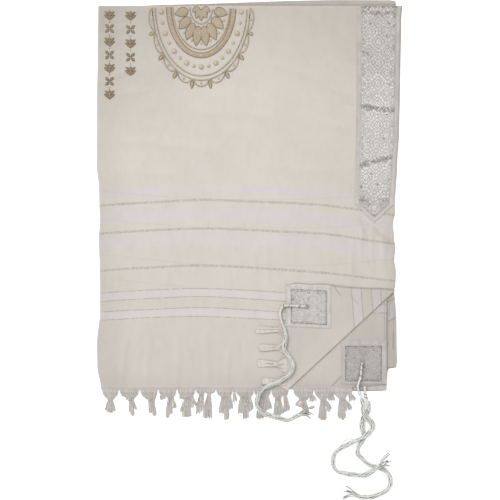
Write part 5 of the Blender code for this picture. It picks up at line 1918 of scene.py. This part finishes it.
def makeRosette():
    work = Needlework()
    (cx, cy), (rx, ry) = needlework["centre"], needlework["half"]

    def at(degrees, share):
        # degrees run from the left end of the fold, round below, to its right end
        angle = math.radians(180 + degrees)
        return cx + rx * share * math.cos(angle), cy + ry * share * math.sin(angle)

    for share in (1.0, 0.94, 0.585):
        work.cord([at(d, share) for d in range(1, 180, 8)], 90)
    work.band([at(d, 0.665) for d in range(1, 180, 8)], 0.0125, 80)
    for k in range(9):
        work.bead(*at(10 + 20 * k, 0.665), 0.55, 1.0)
    for k in range(17):
        work.bead(*at(5 + 170 * k / 16, 0.822), 1.25 if k % 2 == 0 else 0.85)
    for k in range(8):
        d = 11.25 + 22.5 * k
        work.leaf(at(d, 0.27), at(d, 0.545), 0.0235, 0.0, 0.75)
        if k < 7:
            work.bead(*at(d + 11.25, 0.50), 0.7)
    work.cord([at(d, 0.235) for d in range(3, 178, 12)], 50)
    for d in range(22, 159, 34):
        work.leaf(at(d, 0.04), at(d, 0.19), 0.0150, 0.0, 0.8)
    for d in range(10, 171, 20):  # scallops round the outside, with a leaf where two meet
        scallop = ((-9, 1.0), (-6, 1.06), (0, 1.085), (6, 1.06), (9, 1.0))
        work.cord([at(d + off, share) for off, share in scallop], 24)
        work.bead(*at(d, 1.04), 0.55)
        if d > 10:
            work.leaf(at(d - 10, 1.02), at(d - 10, 1.13), 0.0085)
    return work.make("rosette", goldLook, "gold cord", "gold edging", 0.0017)


def makeSprigs():
    work = Needlework()
    for x, top, bottom in needlework["columns"]:
        count = round((top - bottom) / needlework["sprig"])
        for k in range(count):
            y = top - (k + 0.5) * (top - bottom) / count
            if k % 2:
                for turn in range(4):
                    angle = math.radians(45 + 90 * turn)
                    run = Vector((math.cos(angle), math.sin(angle)))
                    work.leaf(Vector((x, y)) + run * 0.0022, Vector((x, y)) + run * 0.0140, 0.0062)
                work.bead(x, y, 0.32, 0.2)
            else:
                work.leaf((x, y - 0.012), (x, y + 0.012), 0.0066)
                for sign in (-1, 1):
                    work.leaf((x, y - 0.011), (x + sign * 0.0135, y + 0.001), 0.0058, 0.0016 * sign)
                    work.leaf((x, y - 0.002), (x + sign * 0.0120, y + 0.009), 0.0052, 0.0012 * sign)
            if k < count - 1:
                work.bead(x, y - (top - bottom) / count / 2, 0.3, 0.2)
    return work.make("sprig", goldDeepLook, "gold edging", "dark gold edging", 0.0013)


goldwork = makeRosette() + makeSprigs()
print("gold worked")


# floor, light and camera
stage = {
    "floor": 3.0,
    "floorDrop": 0.0006,
    "reach": 1.25,
    "lens": 200.0,
    "sensor": 36.0,
    "clipEnd": 60,
    "world": 0.75,
    "key": 1.37,
    "keyAngle": math.radians(38),
    "keyTurn": (math.radians(-32), math.radians(-34), 0.0),
    "glow": 0.55,
}


def stood(name, data):
    thing = bpy.data.objects.new(name, data)
    bpy.context.scene.collection.objects.link(thing)
    return thing


def makeStage():
    white = (1.0, 1.0, 1.0, 1.0)
    f = Finish("pale floor", 0.9)
    f.feed("Base Color", f.blend(f.cloud(1.5) * 0.5, (0.90, 0.90, 0.90), (0.88, 0.88, 0.88)))
    f.shader["Emission Color"].default_value = white
    f.shader["Emission Strength"].default_value = stage["glow"]
    half, z = stage["floor"], -stage["floorDrop"]
    ends = [(-half, -half, z), (half, -half, z), (half, half, z), (-half, half, z)]
    shell("floor", ends, [(0, 1, 2, 3)], {}, f)

    world = bpy.data.worlds.new("soft tent")
    world.use_nodes = True
    sky = world.node_tree.nodes["Background"].inputs
    sky[0].default_value = white
    sky[1].default_value = stage["world"]
    bpy.context.scene.world = world

    key = bpy.data.lights.new("key", "SUN")
    key.energy = stage["key"]
    key.angle = stage["keyAngle"]
    stood("key", key).rotation_euler = stage["keyTurn"]

    lens = bpy.data.cameras.new("camera")
    lens.lens = stage["lens"]
    lens.sensor_width = stage["sensor"]
    lens.clip_end = stage["clipEnd"]
    camera = stood("camera", lens)
    distance = stage["reach"] / stage["sensor"] * stage["lens"]
    camera.location = (0.0, 0.0, distance + lay["frontBase"])
    bpy.context.scene.camera = camera
    bpy.context.scene.view_settings.view_transform = "Standard"


makeStage()
print("stage set")
